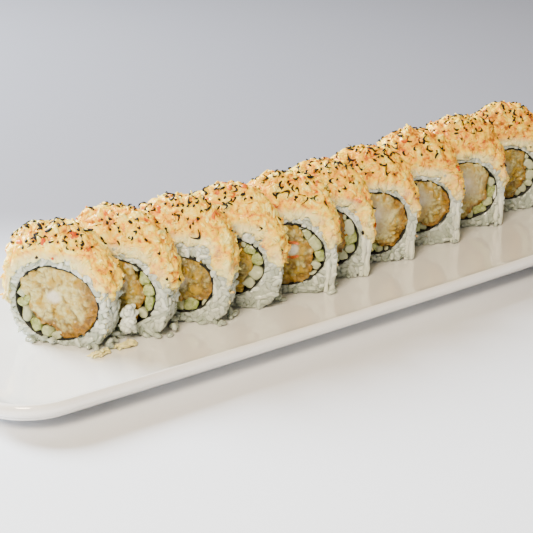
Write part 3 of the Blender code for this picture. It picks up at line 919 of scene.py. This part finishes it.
def prawn_piece(one):
    """Discs of rings at both faces joined by a wall; the faces dome by 1 - share cubed.

    Meat falls off with the distance from its middle, lighter at its heart as a painted highlight,
    crust rises to the rim and is thickest one way, skin is a bell curve at the meat's edge, and
    painted shade marks the low parts of the bumps.
    """
    k = one["k"]
    cols = 160
    angle = circle(cols)
    rim = prawn_radius(one, angle) * (1.0 + 0.012 * np.sin(5 * angle + k))
    disc = np.linspace(0.03, 1, 32)
    shares = np.concatenate([disc, np.ones(6), disc[::-1]])
    dome = DOMES.get(k, PLAIN_DOME) * MM * (1 - disc ** 3)
    depth = one["depth"]
    front, back = 0.35 * MM - dome, depth - 0.35 * MM + dome
    depths = np.concatenate([front, np.linspace(front[-1], back[-1], 8)[1:-1], back[::-1]])
    radius = rim * shares[:, None]
    b = np.broadcast_to(depths[:, None], radius.shape)
    rings = to_world(one, radius * np.cos(angle), b, one["ring_c"] + radius * np.sin(angle))
    ends = [to_world(one, np.array(0.0), np.array(y), np.array(one["ring_c"]))
            for y in (front[0], back[0])]
    points = tube_points(rings, ends[0], ends[1])
    faces = outward(points, tube_faces(len(shares), cols))
    a, b, c = slice_place(one, points)
    c = c - one["ring_c"]
    ma, mc, size, heavy, brown, skin, fried = CUTS[k]
    from_meat = np.hypot(a - ma * MM, (c - mc * MM) * 1.1) / (size * MM)
    share = np.concatenate([np.repeat(shares, cols), [0.0, 0.0]])
    way = np.arctan2(c, a)
    one_way = np.maximum(0.55 + 0.65 * np.cos(way - math.radians(heavy)), 0)
    crust = smooth(share, 0.5, 1.0) * brown * one_way
    crust += 0.3 * rough(points, 4 * MM, 90 + k)
    # Above 1 the number marks the meat's heart, which the finish paints lighter as a highlight.
    meat = np.clip(1.5 - from_meat + 0.35 * rough(points, 5 * MM, 120 + k), 0, 1.5)
    over_under = smooth(np.abs(c - mc * MM) / (size * MM), 0.5, 0.9)
    edge = skin * np.exp(-((from_meat - 1.1) / 0.28) ** 2) * over_under
    coarse = 1 - 0.85 * smooth(meat, 0.1, 0.7)
    bumps = rough(points, 3.0 * MM, 70 + k) * 0.8 + np.abs(noise(points, 2.2 * MM, 75 + k)) * 1.6 - 0.5
    points = points + normals_of(points, faces) * (bumps * coarse * MM)[:, None]
    # Painted shade: the low parts of the bumps are marked to be darkened.
    pit = smooth(-bumps, 0.12, 0.75) * coarse
    fried = fried + (0.5 * smooth(-c, -5 * MM, 9 * MM) if k == 1 else 0.0)
    # Where the skin shows, the meat beside it is left white.
    if skin > 1:
        fried = fried * (1 - smooth(meat, 0.3, 0.8))
    made = piece(f"prawn_{k}_cut", points, faces, PRAWN, [f"prawn_{k}"], crust=crust, meat=meat,
                 skin=edge, pit=pit, fried=np.broadcast_to(fried, len(points)).copy())
    return len(faces)


print("prawn triangles:", sum(prawn_piece(one) for one in slices.values()))

# %% [markdown]
# Cucumber sticks are square with soft corners, cut from a pale core, and they fill what the prawn
# leaves of the ring. The first ones are the solid's own sticks. Smaller ones wedge in on both
# sides, as thick as the room between prawn and seaweed. Each is a tube whose rings are a
# superellipse, and a number marks the side that keeps a bit of green skin.

# %% Cucumber


def stick_places(one, rng):
    """Angle, reach, half sizes and paleness of each stick, walking round the ring by a stick's width.

    The sticks proper are green; what is wedged in before and after them is smaller and nearly white.
    """
    start, width, count = stick_band(one)
    places = []
    angle = start - math.radians(36)
    last = start + width * count + math.radians(36)
    while angle < last:
        proper = start - 0.05 < angle < start + width * count - 0.1
        wide = (rng.uniform(3.6, 7.2) if proper else rng.uniform(2.2, 4.8)) * MM
        reach = ring_radius(one, angle) - NORI_WALL - 2.6 * MM
        middle = angle + wide / reach / 2
        room = ring_radius(one, middle) - NORI_WALL - prawn_radius(one, middle)
        if room > 1.2 * MM:
            half = min(room, STICK_SIDE) / 2 * rng.uniform(0.8, 1.2)
            inner = ring_radius(one, middle) - NORI_WALL - 0.1 * MM - half
            pale = rng.choice([0.05, 0.5, 0.95]) if proper else rng.uniform(0.8, 1.0)
            places.append((middle, inner, half, wide / 2 * rng.uniform(0.98, 1.1), pale))
        angle += wide / reach
    return places


def cucumber_piece(one):
    """Superellipse rings, cos and sin raised to a small power, swept straight from face to face."""
    k = one["k"]
    rng = np.random.default_rng(80 + k)
    cols = 22
    around = circle(cols)
    depth = one["depth"] / MM
    parts, skins, pales = [], [], []
    for angle, reach, half_out, half_side, pale in stick_places(one, rng):
        power = rng.uniform(0.5, 0.95)
        corner_a = np.sign(np.cos(around)) * np.abs(np.cos(around)) ** power
        corner_c = np.sign(np.sin(around)) * np.abs(np.sin(around)) ** power
        near, far = rng.uniform(-0.3, 0.8), depth - rng.uniform(-0.3, 0.8)
        b = np.array([near, near + 0.25, near + 0.8, 4.0, 8.0, depth - 4, far - 0.8, far - 0.25, far]) * MM
        girth = np.array([0.62, 0.88, 1.0, 1.0, 0.98, 1.0, 1.0, 0.88, 0.62])
        turn = angle + rng.uniform(-0.7, 0.7)
        out = girth[:, None] * corner_a * half_out
        side = girth[:, None] * corner_c * half_side
        a = reach * math.cos(angle) + out * math.cos(turn) - side * math.sin(turn)
        c = one["ring_c"] + reach * math.sin(angle) + out * math.sin(turn) + side * math.cos(turn)
        rings = to_world(one, a, np.broadcast_to(b[:, None], a.shape), c)
        ends = rings[[0, -1]].mean(axis=1)
        points = tube_points(rings, ends[0], ends[1])
        points = points + wobble(points, 2.6 * MM, 140 + k) * 0.9 * MM
        parts.append((points, outward(points, tube_faces(len(b), cols))))
        keeps_skin = 1.0 if rng.random() < 0.22 else 0.3
        skins.append(np.append((out / half_out * 0.5 + 0.5).ravel() * keeps_skin, [0.0, 0.0]))
        pales.append(np.full(len(points), pale))
    points, faces = join(parts)
    made = piece(f"cucumber_{k}_sticks", points, faces, CUCUMBER, [f"cucumber_{k}"],
                 skin=np.concatenate(skins), pale=np.concatenate(pales))
    return len(parts)


print("cucumber sticks:", [cucumber_piece(one) for one in slices.values()])

# %% [markdown]
# The topping
#
# The heap is soft crab salad: a dome with a rolled front edge, running down the right shoulder in a
# tongue. Its core is one closed tube that is carried round the slice by the angle. At each angle
# the ring goes up over the front edge, across the crown and back underneath. Shreds of crab are
# then strewn on it, each a flat strip with a bend, along with black seaweed threads and orange bits.

# %% Heap
HALF_WIDTH = 25.6 * MM
# How square the two shoulders are: 2 is an oval, and more is squarer.
SHOULDER_LEFT, SHOULDER_RIGHT = 2.7, 2.3
HEAP_RINGS, ARCH_POINTS, BACK_POINTS = 270, 76, 5


def heap_height(one, angle):
    """How far the dome, a squarish oval, stands out from the rice at an angle."""
    left = SHOULDER_LEFT + (0.5 if one["k"] == 1 else 0.0)
    square = np.where(np.cos(angle) > 0, SHOULDER_RIGHT, left)
    high = one["top"] - 0.7 * MM - RICE_MIDDLE
    total = (np.abs(np.cos(angle)) / HALF_WIDTH) ** square + (np.abs(np.sin(angle)) / high) ** square
    return total ** (-1 / square) - rice_radius(angle)


def heap_core(one):
    """Rings in depth and radius, one for each angle from the right-hand tongue over to the left side.

    The lumps are the size of smooth noise without its sign, which has round tops and sharp creases.
    """
    k = one["k"]
    depth = one["depth"]
    angle = np.radians(np.linspace(-30, 196, HEAP_RINGS))[:, None]
    arch = np.linspace(0, 1, ARCH_POINTS)
    across = np.cos(math.pi * arch)
    b_arch = depth / 2 - (depth / 2 + 0.7 * MM) * np.sign(across) * np.abs(across) ** 0.8
    rise = np.sin(math.pi * arch) ** 0.5
    share = b_arch / depth
    rounding = 1 - 0.26 * smooth(share, 0.4, 0.0) - 0.14 * smooth(share, 0.65, 1.0)
    along_cut = np.broadcast_arrays(angle * 0, b_arch / (5 * MM), angle * 0 + k)
    wander = noise(np.stack(along_cut, axis=-1), 1.0, 7)
    right_end = np.radians(6 + 9 * wander)
    left_end = np.radians(178 + 8 * wander)
    there = smooth(angle, right_end - 0.16, right_end + 0.16)
    there = there * smooth(-angle, -left_end - 0.16, -left_end + 0.16)
    thick = np.maximum(heap_height(one, angle) * rounding, 1.2 * MM) + 0.4 * MM
    r_arch = rice_radius(angle) - 0.4 * MM + thick * rise * there - 1.6 * MM * (1 - there)
    drop = lip_drop(one, angle)
    lip_share = np.array([1.0, 0.9, 0.6, 0.3])
    lip_b = np.array([0.3, -0.6, -1.0, -1.0]) * MM
    r_lip = rice_radius(angle) - 0.4 * MM - drop * lip_share
    r_back = np.broadcast_to(rice_radius(angle) - 1.5 * MM, (HEAP_RINGS, BACK_POINTS))
    b_back = np.linspace(depth - 0.4 * MM, 0.6 * MM, BACK_POINTS)
    b = np.tile(np.concatenate([lip_b, b_arch, b_back]), (HEAP_RINGS, 1))
    ends = np.concatenate([np.repeat(there[:, :1], len(lip_b), axis=1), there,
                           np.repeat(there[:, -1:], BACK_POINTS, axis=1)], axis=1)
    b = depth / 2 + (b - depth / 2) * (0.72 + 0.28 * ends)
    radius = np.concatenate([r_lip, r_arch, r_back], axis=1)
    a, c = rice_section(angle, radius)
    rings = to_world(one, a, b, c)
    points = tube_points(rings, rings[0].mean(axis=0), rings[-1].mean(axis=0))
    faces = outward(points, tube_faces(len(angle), b.shape[1]))
    normals = normals_of(points, faces)
    swirl = wobble(points, 4.5 * MM, 60 + k, 11)
    large = np.abs(noise(points + swirl * 1.8 * MM, 4.0 * MM, 40 + k))
    small = np.abs(noise(points + swirl * 1.0 * MM, 1.6 * MM, 45 + k))
    lift = rough(points, 6.0 * MM, 30 + k) * 0.9 + large * 2.0 + small * 0.7 - 0.8
    # Painted shade: the creases between the lumps are marked to be coloured darker and goldener.
    pit = 1 - smooth(large * 0.7 + small * 0.3, 0.0, 0.34)
    return points + normals * (lift * MM)[:, None], faces, pit


def paleness(one, points):
    """How white the dressing is: most at the thin lower edges, least in the tongue on the right."""
    a, b, c, angle, radius = polar_place(one, points)
    beyond = radius - rice_radius(angle)
    pale = smooth(-beyond, -3.2 * MM, 0.6 * MM) * 0.95
    tongue = np.exp(-((np.degrees(angle) - 36) / 15) ** 2)
    return pale * (1 - 0.75 * tongue)


# %% Strips


def strips(places, along, up, rng, length, width, thin, curl, rows=5, cols=5):
    """Flat tubes whose middle line is an arc: along times sin of the turn, up times 1 - cos of it."""
    count = len(places)
    along, up = unit(along), unit(up)
    side = unit(np.cross(along, up))
    up = np.cross(side, along)
    t = np.linspace(0.06, 0.94, rows)
    taper = np.sin(math.pi * (0.12 + 0.76 * t)) ** 0.6
    around = circle(cols)
    turn = rng.uniform(-curl * 0.25, curl, count)
    sway = rng.uniform(-curl, curl, count)
    swing = turn[:, None] * (t - 0.5)
    bend_up = -(1 - np.cos(swing)) / np.where(np.abs(turn) < 0.05, 0.05, turn)[:, None]
    bend_side = sway[:, None] * ((t - 0.5) ** 2 - 0.08)
    line = places[:, None] + along[:, None] * ((t - 0.5) * length[:, None])[..., None]
    line += up[:, None] * (bend_up * length[:, None])[..., None]
    line += side[:, None] * (bend_side * length[:, None])[..., None]
    across = (width[:, None] * taper / 2)[..., None] * np.cos(around)
    over = (thin[:, None] * taper / 2)[..., None] * np.sin(around)
    rings = line[:, :, None] + side[:, None, None] * across[..., None] + up[:, None, None] * over[..., None]
    return many(tube_points(rings, line[:, 0], line[:, -1]), tube_faces(rows, cols))


def strewn(points, faces, count, gap, rng, keep):
    """Places on a surface that pass a test, thinned to a gap."""
    places, normals = on_surface(points, faces, count, rng)
    mask = keep(places, normals)
    places, normals = places[mask], normals[mask]
    chosen = thinned(places, gap)
    return places[chosen], normals[chosen]


def combed(places, normals, rng, seed):
    """Directions along the surface that turn slowly from place to place, as torn fibres lie."""
    flow = unit(wobble(places, 9 * MM, seed)) + rng.normal(scale=0.45, size=places.shape)
    flat = flattened(flow, normals)
    return unit(flat + normals * rng.uniform(-0.08, 0.1, (len(places), 1)))


# %% [markdown]
# What lies on the heap
#
# Crab meat tears into fine fibres. They are strips half sunk in the heap, lying in swirls. On top
# come orange flecks from the outside of the crab, and black seaweed threads, most of them along
# the crown, where they were sprinkled before the roll was cut. Half of the threads are mere specks
# and about one in eight is long. The farther heaps are a little more golden and darker: painted
# shade for the light that falls off towards them.

# %% Heap, shreds, flecks and threads


def outside_rice(one, places):
    """Which places lie beyond the rice's outline or in front of its face."""
    a, b, c, angle, radius = polar_place(one, places)
    return (radius > rice_radius(angle) - 0.2 * MM) | (b < -0.5 * MM)


def shred_layer(one, core, rng):
    """Fine strips on the core, with a shade for each: near 0 cream, near 1 gold."""
    def outside(places, normals):
        return outside_rice(one, places)

    places, normals = strewn(*core, 1300, 2.2 * MM, rng, outside)
    count = len(places)
    length = rng.uniform(2.5, 6.5, count) * MM
    width = rng.uniform(1.0, 2.3, count) * MM
    thin = rng.uniform(0.7, 1.2, count) * MM
    along = combed(places, normals, rng, 300 + one["k"])
    sunk = places - normals * rng.uniform(0.1, 0.6, (count, 1)) * MM
    points, faces = strips(sunk, along, normals, rng, length, width, thin, 1.1)
    return points, faces, each_point(rng.random(count), points), count


def heap_piece(one, core, rng):
    """Core and shreds as one piece, with painted shade added from slice 4 to slice 8 and beyond."""
    shreds = shred_layer(one, core[:2], rng)
    points, faces = join([core[:2], shreds[:2]])
    # Painted shade: from slice 4 to slice 8 the tint moves toward darker gold, as if the light fell off to
    # the right.
    golden_and_shade = 0.3 * smooth(one["k"], 4, 8)
    tint = np.concatenate([np.full(len(core[0]), 0.5), shreds[2]]) + golden_and_shade
    pit = np.concatenate([core[2], np.zeros(len(shreds[0]))])
    made = piece(f"topping_{one['k']}_heap", points, faces, TOPPING, [f"topping_{one['k']}"],
                 tint=tint, pit=pit, low=paleness(one, points))
    return shreds[3], len(faces)


def threads_piece(one, core, rng):
    """Curly black strips and short specks, thickest along the crown and thinner down the front."""
    def on_crown(places, normals):
        a, b, c = slice_place(one, places)
        odds = smooth(c, one["top"] - 17 * MM, one["top"] - 3 * MM) * smooth(-a, -19 * MM, -6 * MM)
        return outside_rice(one, places) & (rng.random(len(places)) < odds + 0.05) & (normals[:, 2] > -0.1)

    places, normals = strewn(*core, 560, 1.35 * MM, rng, on_crown)
    count = len(places)
    kind = rng.random(count)
    short, long = kind < 0.5, kind > 0.88
    length = np.where(short, rng.uniform(0.9, 1.8, count), rng.uniform(2.0, 3.6, count)) * MM
    length = np.where(long, length * 1.6, length)
    width = np.where(short, rng.uniform(0.8, 1.5, count), rng.uniform(0.9, 1.5, count)) * MM
    thin = rng.uniform(0.6, 0.9, count) * MM
    made = piece(f"topping_{one['k']}_threads",
                 *strips(places + normals * 0.45 * MM, lying(normals, rng, 0.2), normals, rng,
                         length, width, thin, 3.8, rows=8, cols=6), THREAD)
    return count


def flecks_piece(one, core, rng):
    """Five larger and four smaller strips on any side of the heap but its underside."""
    def anywhere(places, normals):
        return outside_rice(one, places) & (normals[:, 2] > -0.3)

    places, normals = strewn(*core, 120, 3.2 * MM, rng, anywhere)
    places, normals = places[:9], normals[:9]
    count = len(places)
    large = np.arange(count) < 5
    length = np.where(large, rng.uniform(2.4, 4.4, count), rng.uniform(1.0, 2.2, count)) * MM
    width = np.where(large, rng.uniform(1.4, 2.4, count), rng.uniform(0.7, 1.2, count)) * MM
    thin = np.where(large, 1.2, 0.9) * MM
    points, faces = strips(places + normals * 0.05 * MM, lying(normals, rng, 0.1), normals, rng,
                           length, width, thin, 1.2, rows=8, cols=8)
    points = points + wobble(points, 1.2 * MM, 7) * 0.4 * MM
    tint = each_point(rng.random(count), points)
    made = piece(f"topping_{one['k']}_flecks", points, faces, ORANGE, tint=tint)


def topping_piece(one):
    """The three pieces of one slice's topping, drawn from one run of random numbers."""
    rng = np.random.default_rng(200 + one["k"])
    core = heap_core(one)
    shreds, triangles = heap_piece(one, core, rng)
    threads = threads_piece(one, core[:2], rng)
    flecks_piece(one, core[:2], rng)
    return shreds, threads, triangles


counts = np.array([topping_piece(one) for one in slices.values()])
print("shreds, threads and topping triangles:", counts.sum(axis=0).tolist())

# %% [markdown]
# Loose bits
#
# A clump of rice leans on the first slice, and two shreds of topping have dropped on the plate.
# They are made of the same grains and strips, drawn inside the boxes of their solids. The shreds
# have picked up dressing, so their number for it is high.

# %% Clump and fallen shreds


def clump_piece():
    """Grains round the middle of the box, at 0.35 to 0.9 of the way out to its sides."""
    rng = np.random.default_rng(5)
    low, high = (np.array(corner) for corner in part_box("rice_clump"))
    middle, half = (low + high) / 2, (high - low) / 2
    count = 46
    way = unit(rng.normal(size=(count, 3)))
    places = middle + way * half * rng.uniform(0.35, 0.9, (count, 1)) * [1.0, 1.0, 0.92]
    along = unit(rng.normal(size=(count, 3)) + np.array([0.0, 0.0, 0.8]))
    points, faces = grains(places, along, way, rng, 5.8 * MM, 2.9 * MM)
    points[:, 2] = np.maximum(points[:, 2], WELL + 0.1 * MM)
    # Painted light: these grains get a higher tint than the slices' rice, so they read brighter than the
    # shade they sit in.
    tint = each_point(rng.uniform(0.8, 1.6, count), points)
    made = piece("rice_clump_grains", points, faces, RICE, ["rice_clump"], tint=tint)
    return count


def fallen_piece(number):
    """Strips that lie about lengthwise in the inner 0.7 of the box."""
    rng = np.random.default_rng(10 + number)
    low, high = (np.array(corner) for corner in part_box(f"fallen_shred_{number}"))
    middle, half = (low + high) / 2, (high - low) / 2
    count = 22
    places = middle + rng.uniform(-0.7, 0.7, (count, 3)) * half
    along = np.tile([1.0, 0.15, 0.0], (count, 1)) + rng.normal(scale=0.3, size=(count, 3)) * [1, 1, 0.4]
    up = unit(np.tile([0.0, 0.0, 1.0], (count, 1)) + rng.normal(scale=0.3, size=(count, 3)))
    points, faces = strips(places, along, up, rng, rng.uniform(4, 7, count) * MM,
                           rng.uniform(1.0, 2.2, count) * MM, rng.uniform(0.6, 1.2, count) * MM, 1.6,
                           rows=7, cols=8)
    points = points + wobble(points, 1.5 * MM, 0) * 0.5 * MM
    points[:, 2] = np.maximum(points[:, 2], WELL + 0.1 * MM)
    tint = each_point(rng.uniform(0.2, 0.8, count), points)
    made = piece(f"fallen_shred_{number}_strips", points, faces, TOPPING, [f"fallen_shred_{number}"],
                 tint=tint, pit=np.zeros(len(points)), low=np.full(len(points), 0.85))
    return count


print("grains in the clump:", clump_piece())
print("strips in the fallen shreds:", fallen_piece(1), fallen_piece(2))

# %% [markdown]
# The plate
#
# The plate is thick white porcelain. Its solid has the right form but few faces, and a glaze shows
# every facet in its reflections. The same form is made again with more points: a rounded rectangle
# with bowed sides, carried along a profile from under the foot, round the rim and into the well.

# %% Plate
CORNER_POINTS, SIDE_POINTS, PROFILE_STEPS = 14, 24, 6
PROFILE = np.array([
    # length, width, bow and corner radius in mm, and height in mm
    (294.0, 99.0, 1.0, 14.0, 2.6),
    (296.0, 101.0, 1.0, 15.0, 0.0),
    (306.0, 111.0, 1.0, 20.0, 0.0),
    (308.4, 113.4, 1.0, 21.0, 4.2),
    (403.0, 127.0, 2.6, 22.0, 5.6),
    (416.8, 132.8, 3.4, 25.0, 7.6),
    (420.0, 136.0, 3.5, 26.0, 10.0),
    (419.1, 135.1, 3.5, 25.6, 12.5),
    (416.4, 132.4, 3.5, 24.6, 13.5),
    (412.6, 128.6, 3.5, 23.0, 12.6),
    (404.0, 122.0, 3.3, 21.0, 9.9),
    (390.0, 114.0, 3.0, 19.0, 8.75),
    (374.0, 104.0, 2.6, 17.0, 8.5),
])


def rounded(profile, steps):
    """The profile with each stretch cut into steps by a cubic curve through its points.

    The curve is held between the two points of its stretch, so that it doesn't swing past them.
    """
    before = np.vstack([profile[:1], profile[:-2]])
    start, end = profile[:-1], profile[1:]
    after = np.vstack([profile[2:], profile[-1:]])
    t = (np.arange(steps) / steps)[None, :, None]
    p0, p1, p2, p3 = (p[:, None] for p in (before, start, end, after))
    curve = 0.5 * (2 * p1 + (p2 - p0) * t + (2 * p0 - 5 * p1 + 4 * p2 - p3) * t ** 2
                   + (3 * p1 - p0 - 3 * p2 + p3) * t ** 3)
    curve = np.clip(curve, np.minimum(p1, p2), np.maximum(p1, p2))
    return np.vstack([curve.reshape(-1, profile.shape[1]), profile[-1:]])


def with_sides(corners):
    """The columns of four corners, each followed by columns on a straight line to the next corner."""
    share = np.linspace(0, 1, SIDE_POINTS + 2)[1:-1]
    parts = []
    each = np.split(corners, 4, axis=1)
    for here, following in zip(each, each[1:] + each[:1]):
        parts += [here, here[:, -1:] + (following[:, :1] - here[:, -1:]) * share]
    return np.concatenate(parts, axis=1)


def tray_rings(rows):
    """Rings of a rounded rectangle: corners as arcs, and straight sides bowed by 1 - (x / half)^2."""
    length, width, bow, radius, height = (rows * MM).T[:, :, None]
    quarter = np.linspace(0, math.pi / 2, CORNER_POINTS)
    corner = np.concatenate([quarter + q * math.pi / 2 for q in range(4)])
    sign_x = np.repeat([1, -1, -1, 1], CORNER_POINTS)
    sign_y = np.repeat([1, 1, -1, -1], CORNER_POINTS)
    x = with_sides(sign_x * (length / 2 - radius) + radius * np.cos(corner))
    y = with_sides(sign_y * (width / 2 - radius) + radius * np.sin(corner))
    y = y + bow * (1 - (x / (length / 2)) ** 2) * (y / (width / 2))
    return np.stack([x, y, np.broadcast_to(height, x.shape)], axis=-1)


def plate_finish():
    """White glaze, with slow waves in its tone, gloss and height."""
    finish = Finish("porcelain", Specular_IOR_Level=0.6, Coat_Weight=1.0, Coat_Roughness=0.03)
    tone = finish.grain(60 * MM, 2.0)
    finish.set(Base_Color=tone.mix(srgb(236, 236, 234), srgb(243, 243, 242)))
    finish.set(Roughness=0.14 + finish.grain(9 * MM, 3.0) * 0.1)
    finish.bump(finish.grain(22 * MM, 2.0), 0.25 * MM, 0.35)
    return finish.material


def plate_piece():
    """The rings from under the foot to the well, closed by a point in the middle of each."""
    rings = tray_rings(rounded(PROFILE, PROFILE_STEPS))
    under = rings[0].mean(axis=0)
    well = rings[-1].mean(axis=0)
    points = tube_points(rings, under, well)
    faces = outward(points, tube_faces(*rings.shape[:2]))
    made = piece("plate_glazed", points, faces, plate_finish(), ["plate"])
    made.data.set_sharp_from_angle(angle=math.radians(50))
    print("plate triangles:", len(faces))


plate_piece()

# %% [markdown]
# Floor, light and camera
#
# The table is one pale sheet that bends up far off on every side, so that no line shows where floor
# and wall meet. Behind the plate it goes slowly to grey: painted shade, as if the far table lay out
# of the light. The key light is cool and soft and stands behind on the left. A small warm one in
# front on the left fills the shadows, and so does a warm sky. The camera looks down by 20 degrees,
# at 51 degrees to the plate's long side.

# %% Stage
CAMERA_BEARING = math.radians(51.4)


def floor_finish():
    """A pale sheet with a slow change to grey behind the plate: painted shade for the far table."""
    finish = Finish("table", Roughness=0.6, Specular_IOR_Level=0.3)
    split = finish.place.node("ShaderNodeVectorMath", {"operation": "DOT_PRODUCT"}, i0=finish.place,
                              i1=(math.cos(CAMERA_BEARING), math.sin(CAMERA_BEARING), 0.0))
    # Painted shade: the far part of the sheet turns grey.
    far = split.step(-0.06, 0.12)
    front = finish.grain(0.4, 2.0).mix(srgb(224, 229, 239), srgb(230, 234, 243))
    finish.set(Base_Color=far.mix(front, srgb(134, 133, 140)))
    return finish.material


def floor_piece():
    """A bowl: flat out to 3 m, then a quarter circle of 0.9 m, then upright, turned round the plate."""
    bend = np.linspace(0, math.pi / 2, 16)
    run = np.concatenate([[1.0, 3.0], 3.0 + 0.9 * np.sin(bend[1:]), [3.9]])
    rise = np.concatenate([[0.0, 0.0], 0.9 * (1 - np.cos(bend[1:])), [1.4]])
    turn = circle(96)
    x, y = run[:, None] * np.cos(turn), run[:, None] * np.sin(turn)
    rings = np.stack([x, y, np.broadcast_to(rise[:, None], x.shape)], axis=-1)
    rows, cols = x.shape
    r, c = np.meshgrid(np.arange(rows - 1), np.arange(cols), indexing="ij")
    low, high, beside = r * cols, (r + 1) * cols, (c + 1) % cols
    quads = np.stack([high + c, high + beside, low + beside, low + c], axis=-1).reshape(-1, 4)
    fan = np.stack([c[0], beside[0], np.full(cols, rows * cols)], axis=-1)
    mesh = bpy.data.meshes.new("table")
    mesh.from_pydata([*rings.reshape(-1, 3).tolist(), [0.0, 0.0, 0.0]], [],
                     quads.tolist() + fan.tolist())
    mesh.shade_smooth()
    mesh.materials.append(floor_finish())
    obj = bpy.data.objects.new("table", mesh)
    bpy.context.scene.collection.objects.link(obj)


def soft_light(name, place, target, size, power, colour):
    """A round lamp at a place, turned to its target; size is its width in metres, power in watts."""
    lamp = bpy.data.lights.new(name, "AREA")
    lamp.shape = "DISK"
    lamp.size = size
    lamp.energy = power
    lamp.color = colour
    obj = bpy.data.objects.new(name, lamp)
    obj.location = place
    obj.rotation_euler = (Vector(target) - Vector(place)).to_track_quat("-Z", "Y").to_euler()
    bpy.context.scene.collection.objects.link(obj)


def sky(colour, strength):
    """The same light from all around."""
    world = bpy.data.worlds.new("studio")
    world.use_nodes = True
    world.node_tree.nodes["Background"].inputs["Color"].default_value = (*colour, 1.0)
    world.node_tree.nodes["Background"].inputs["Strength"].default_value = strength
    bpy.context.scene.world = world


floor_piece()
sky((1.0, 0.78, 0.52), 0.36)
soft_light("key", (-0.55, 1.2, 0.78), (0.0, 0.0, 0.03), 0.7, 136.0, (0.86, 0.94, 1.0))
soft_light("fill", (-0.8, -0.5, 0.75), (0.0, 0.0, 0.03), 0.4, 25.0, (1.0, 0.82, 0.58))
print("lamps:", [lamp.name for lamp in bpy.data.lights])

# %% Camera
CAMERA_PLACE = (-0.402, -0.462, 0.22875)
CAMERA_DOWN = math.radians(20.0)
FOCAL_PIXELS, FRAME_PIXELS = 1300.0, 533.0
SENSOR = 36.0


def camera():
    """The focal length is the sensor's width times the focal length in pixels over the frame's width."""
    lens = bpy.data.cameras.new("camera")
    lens.sensor_width = SENSOR
    lens.lens = SENSOR * FOCAL_PIXELS / FRAME_PIXELS
    lens.clip_start = 0.01
    obj = bpy.data.objects.new("camera", lens)
    level = math.cos(CAMERA_DOWN)
    look = Vector((level * math.cos(CAMERA_BEARING), level * math.sin(CAMERA_BEARING),
                   -math.sin(CAMERA_DOWN)))
    obj.location = CAMERA_PLACE
    obj.rotation_euler = look.to_track_quat("-Z", "Y").to_euler()
    bpy.context.scene.collection.objects.link(obj)
    bpy.context.scene.camera = obj
    print("focal length mm:", round(lens.lens, 1))


camera()
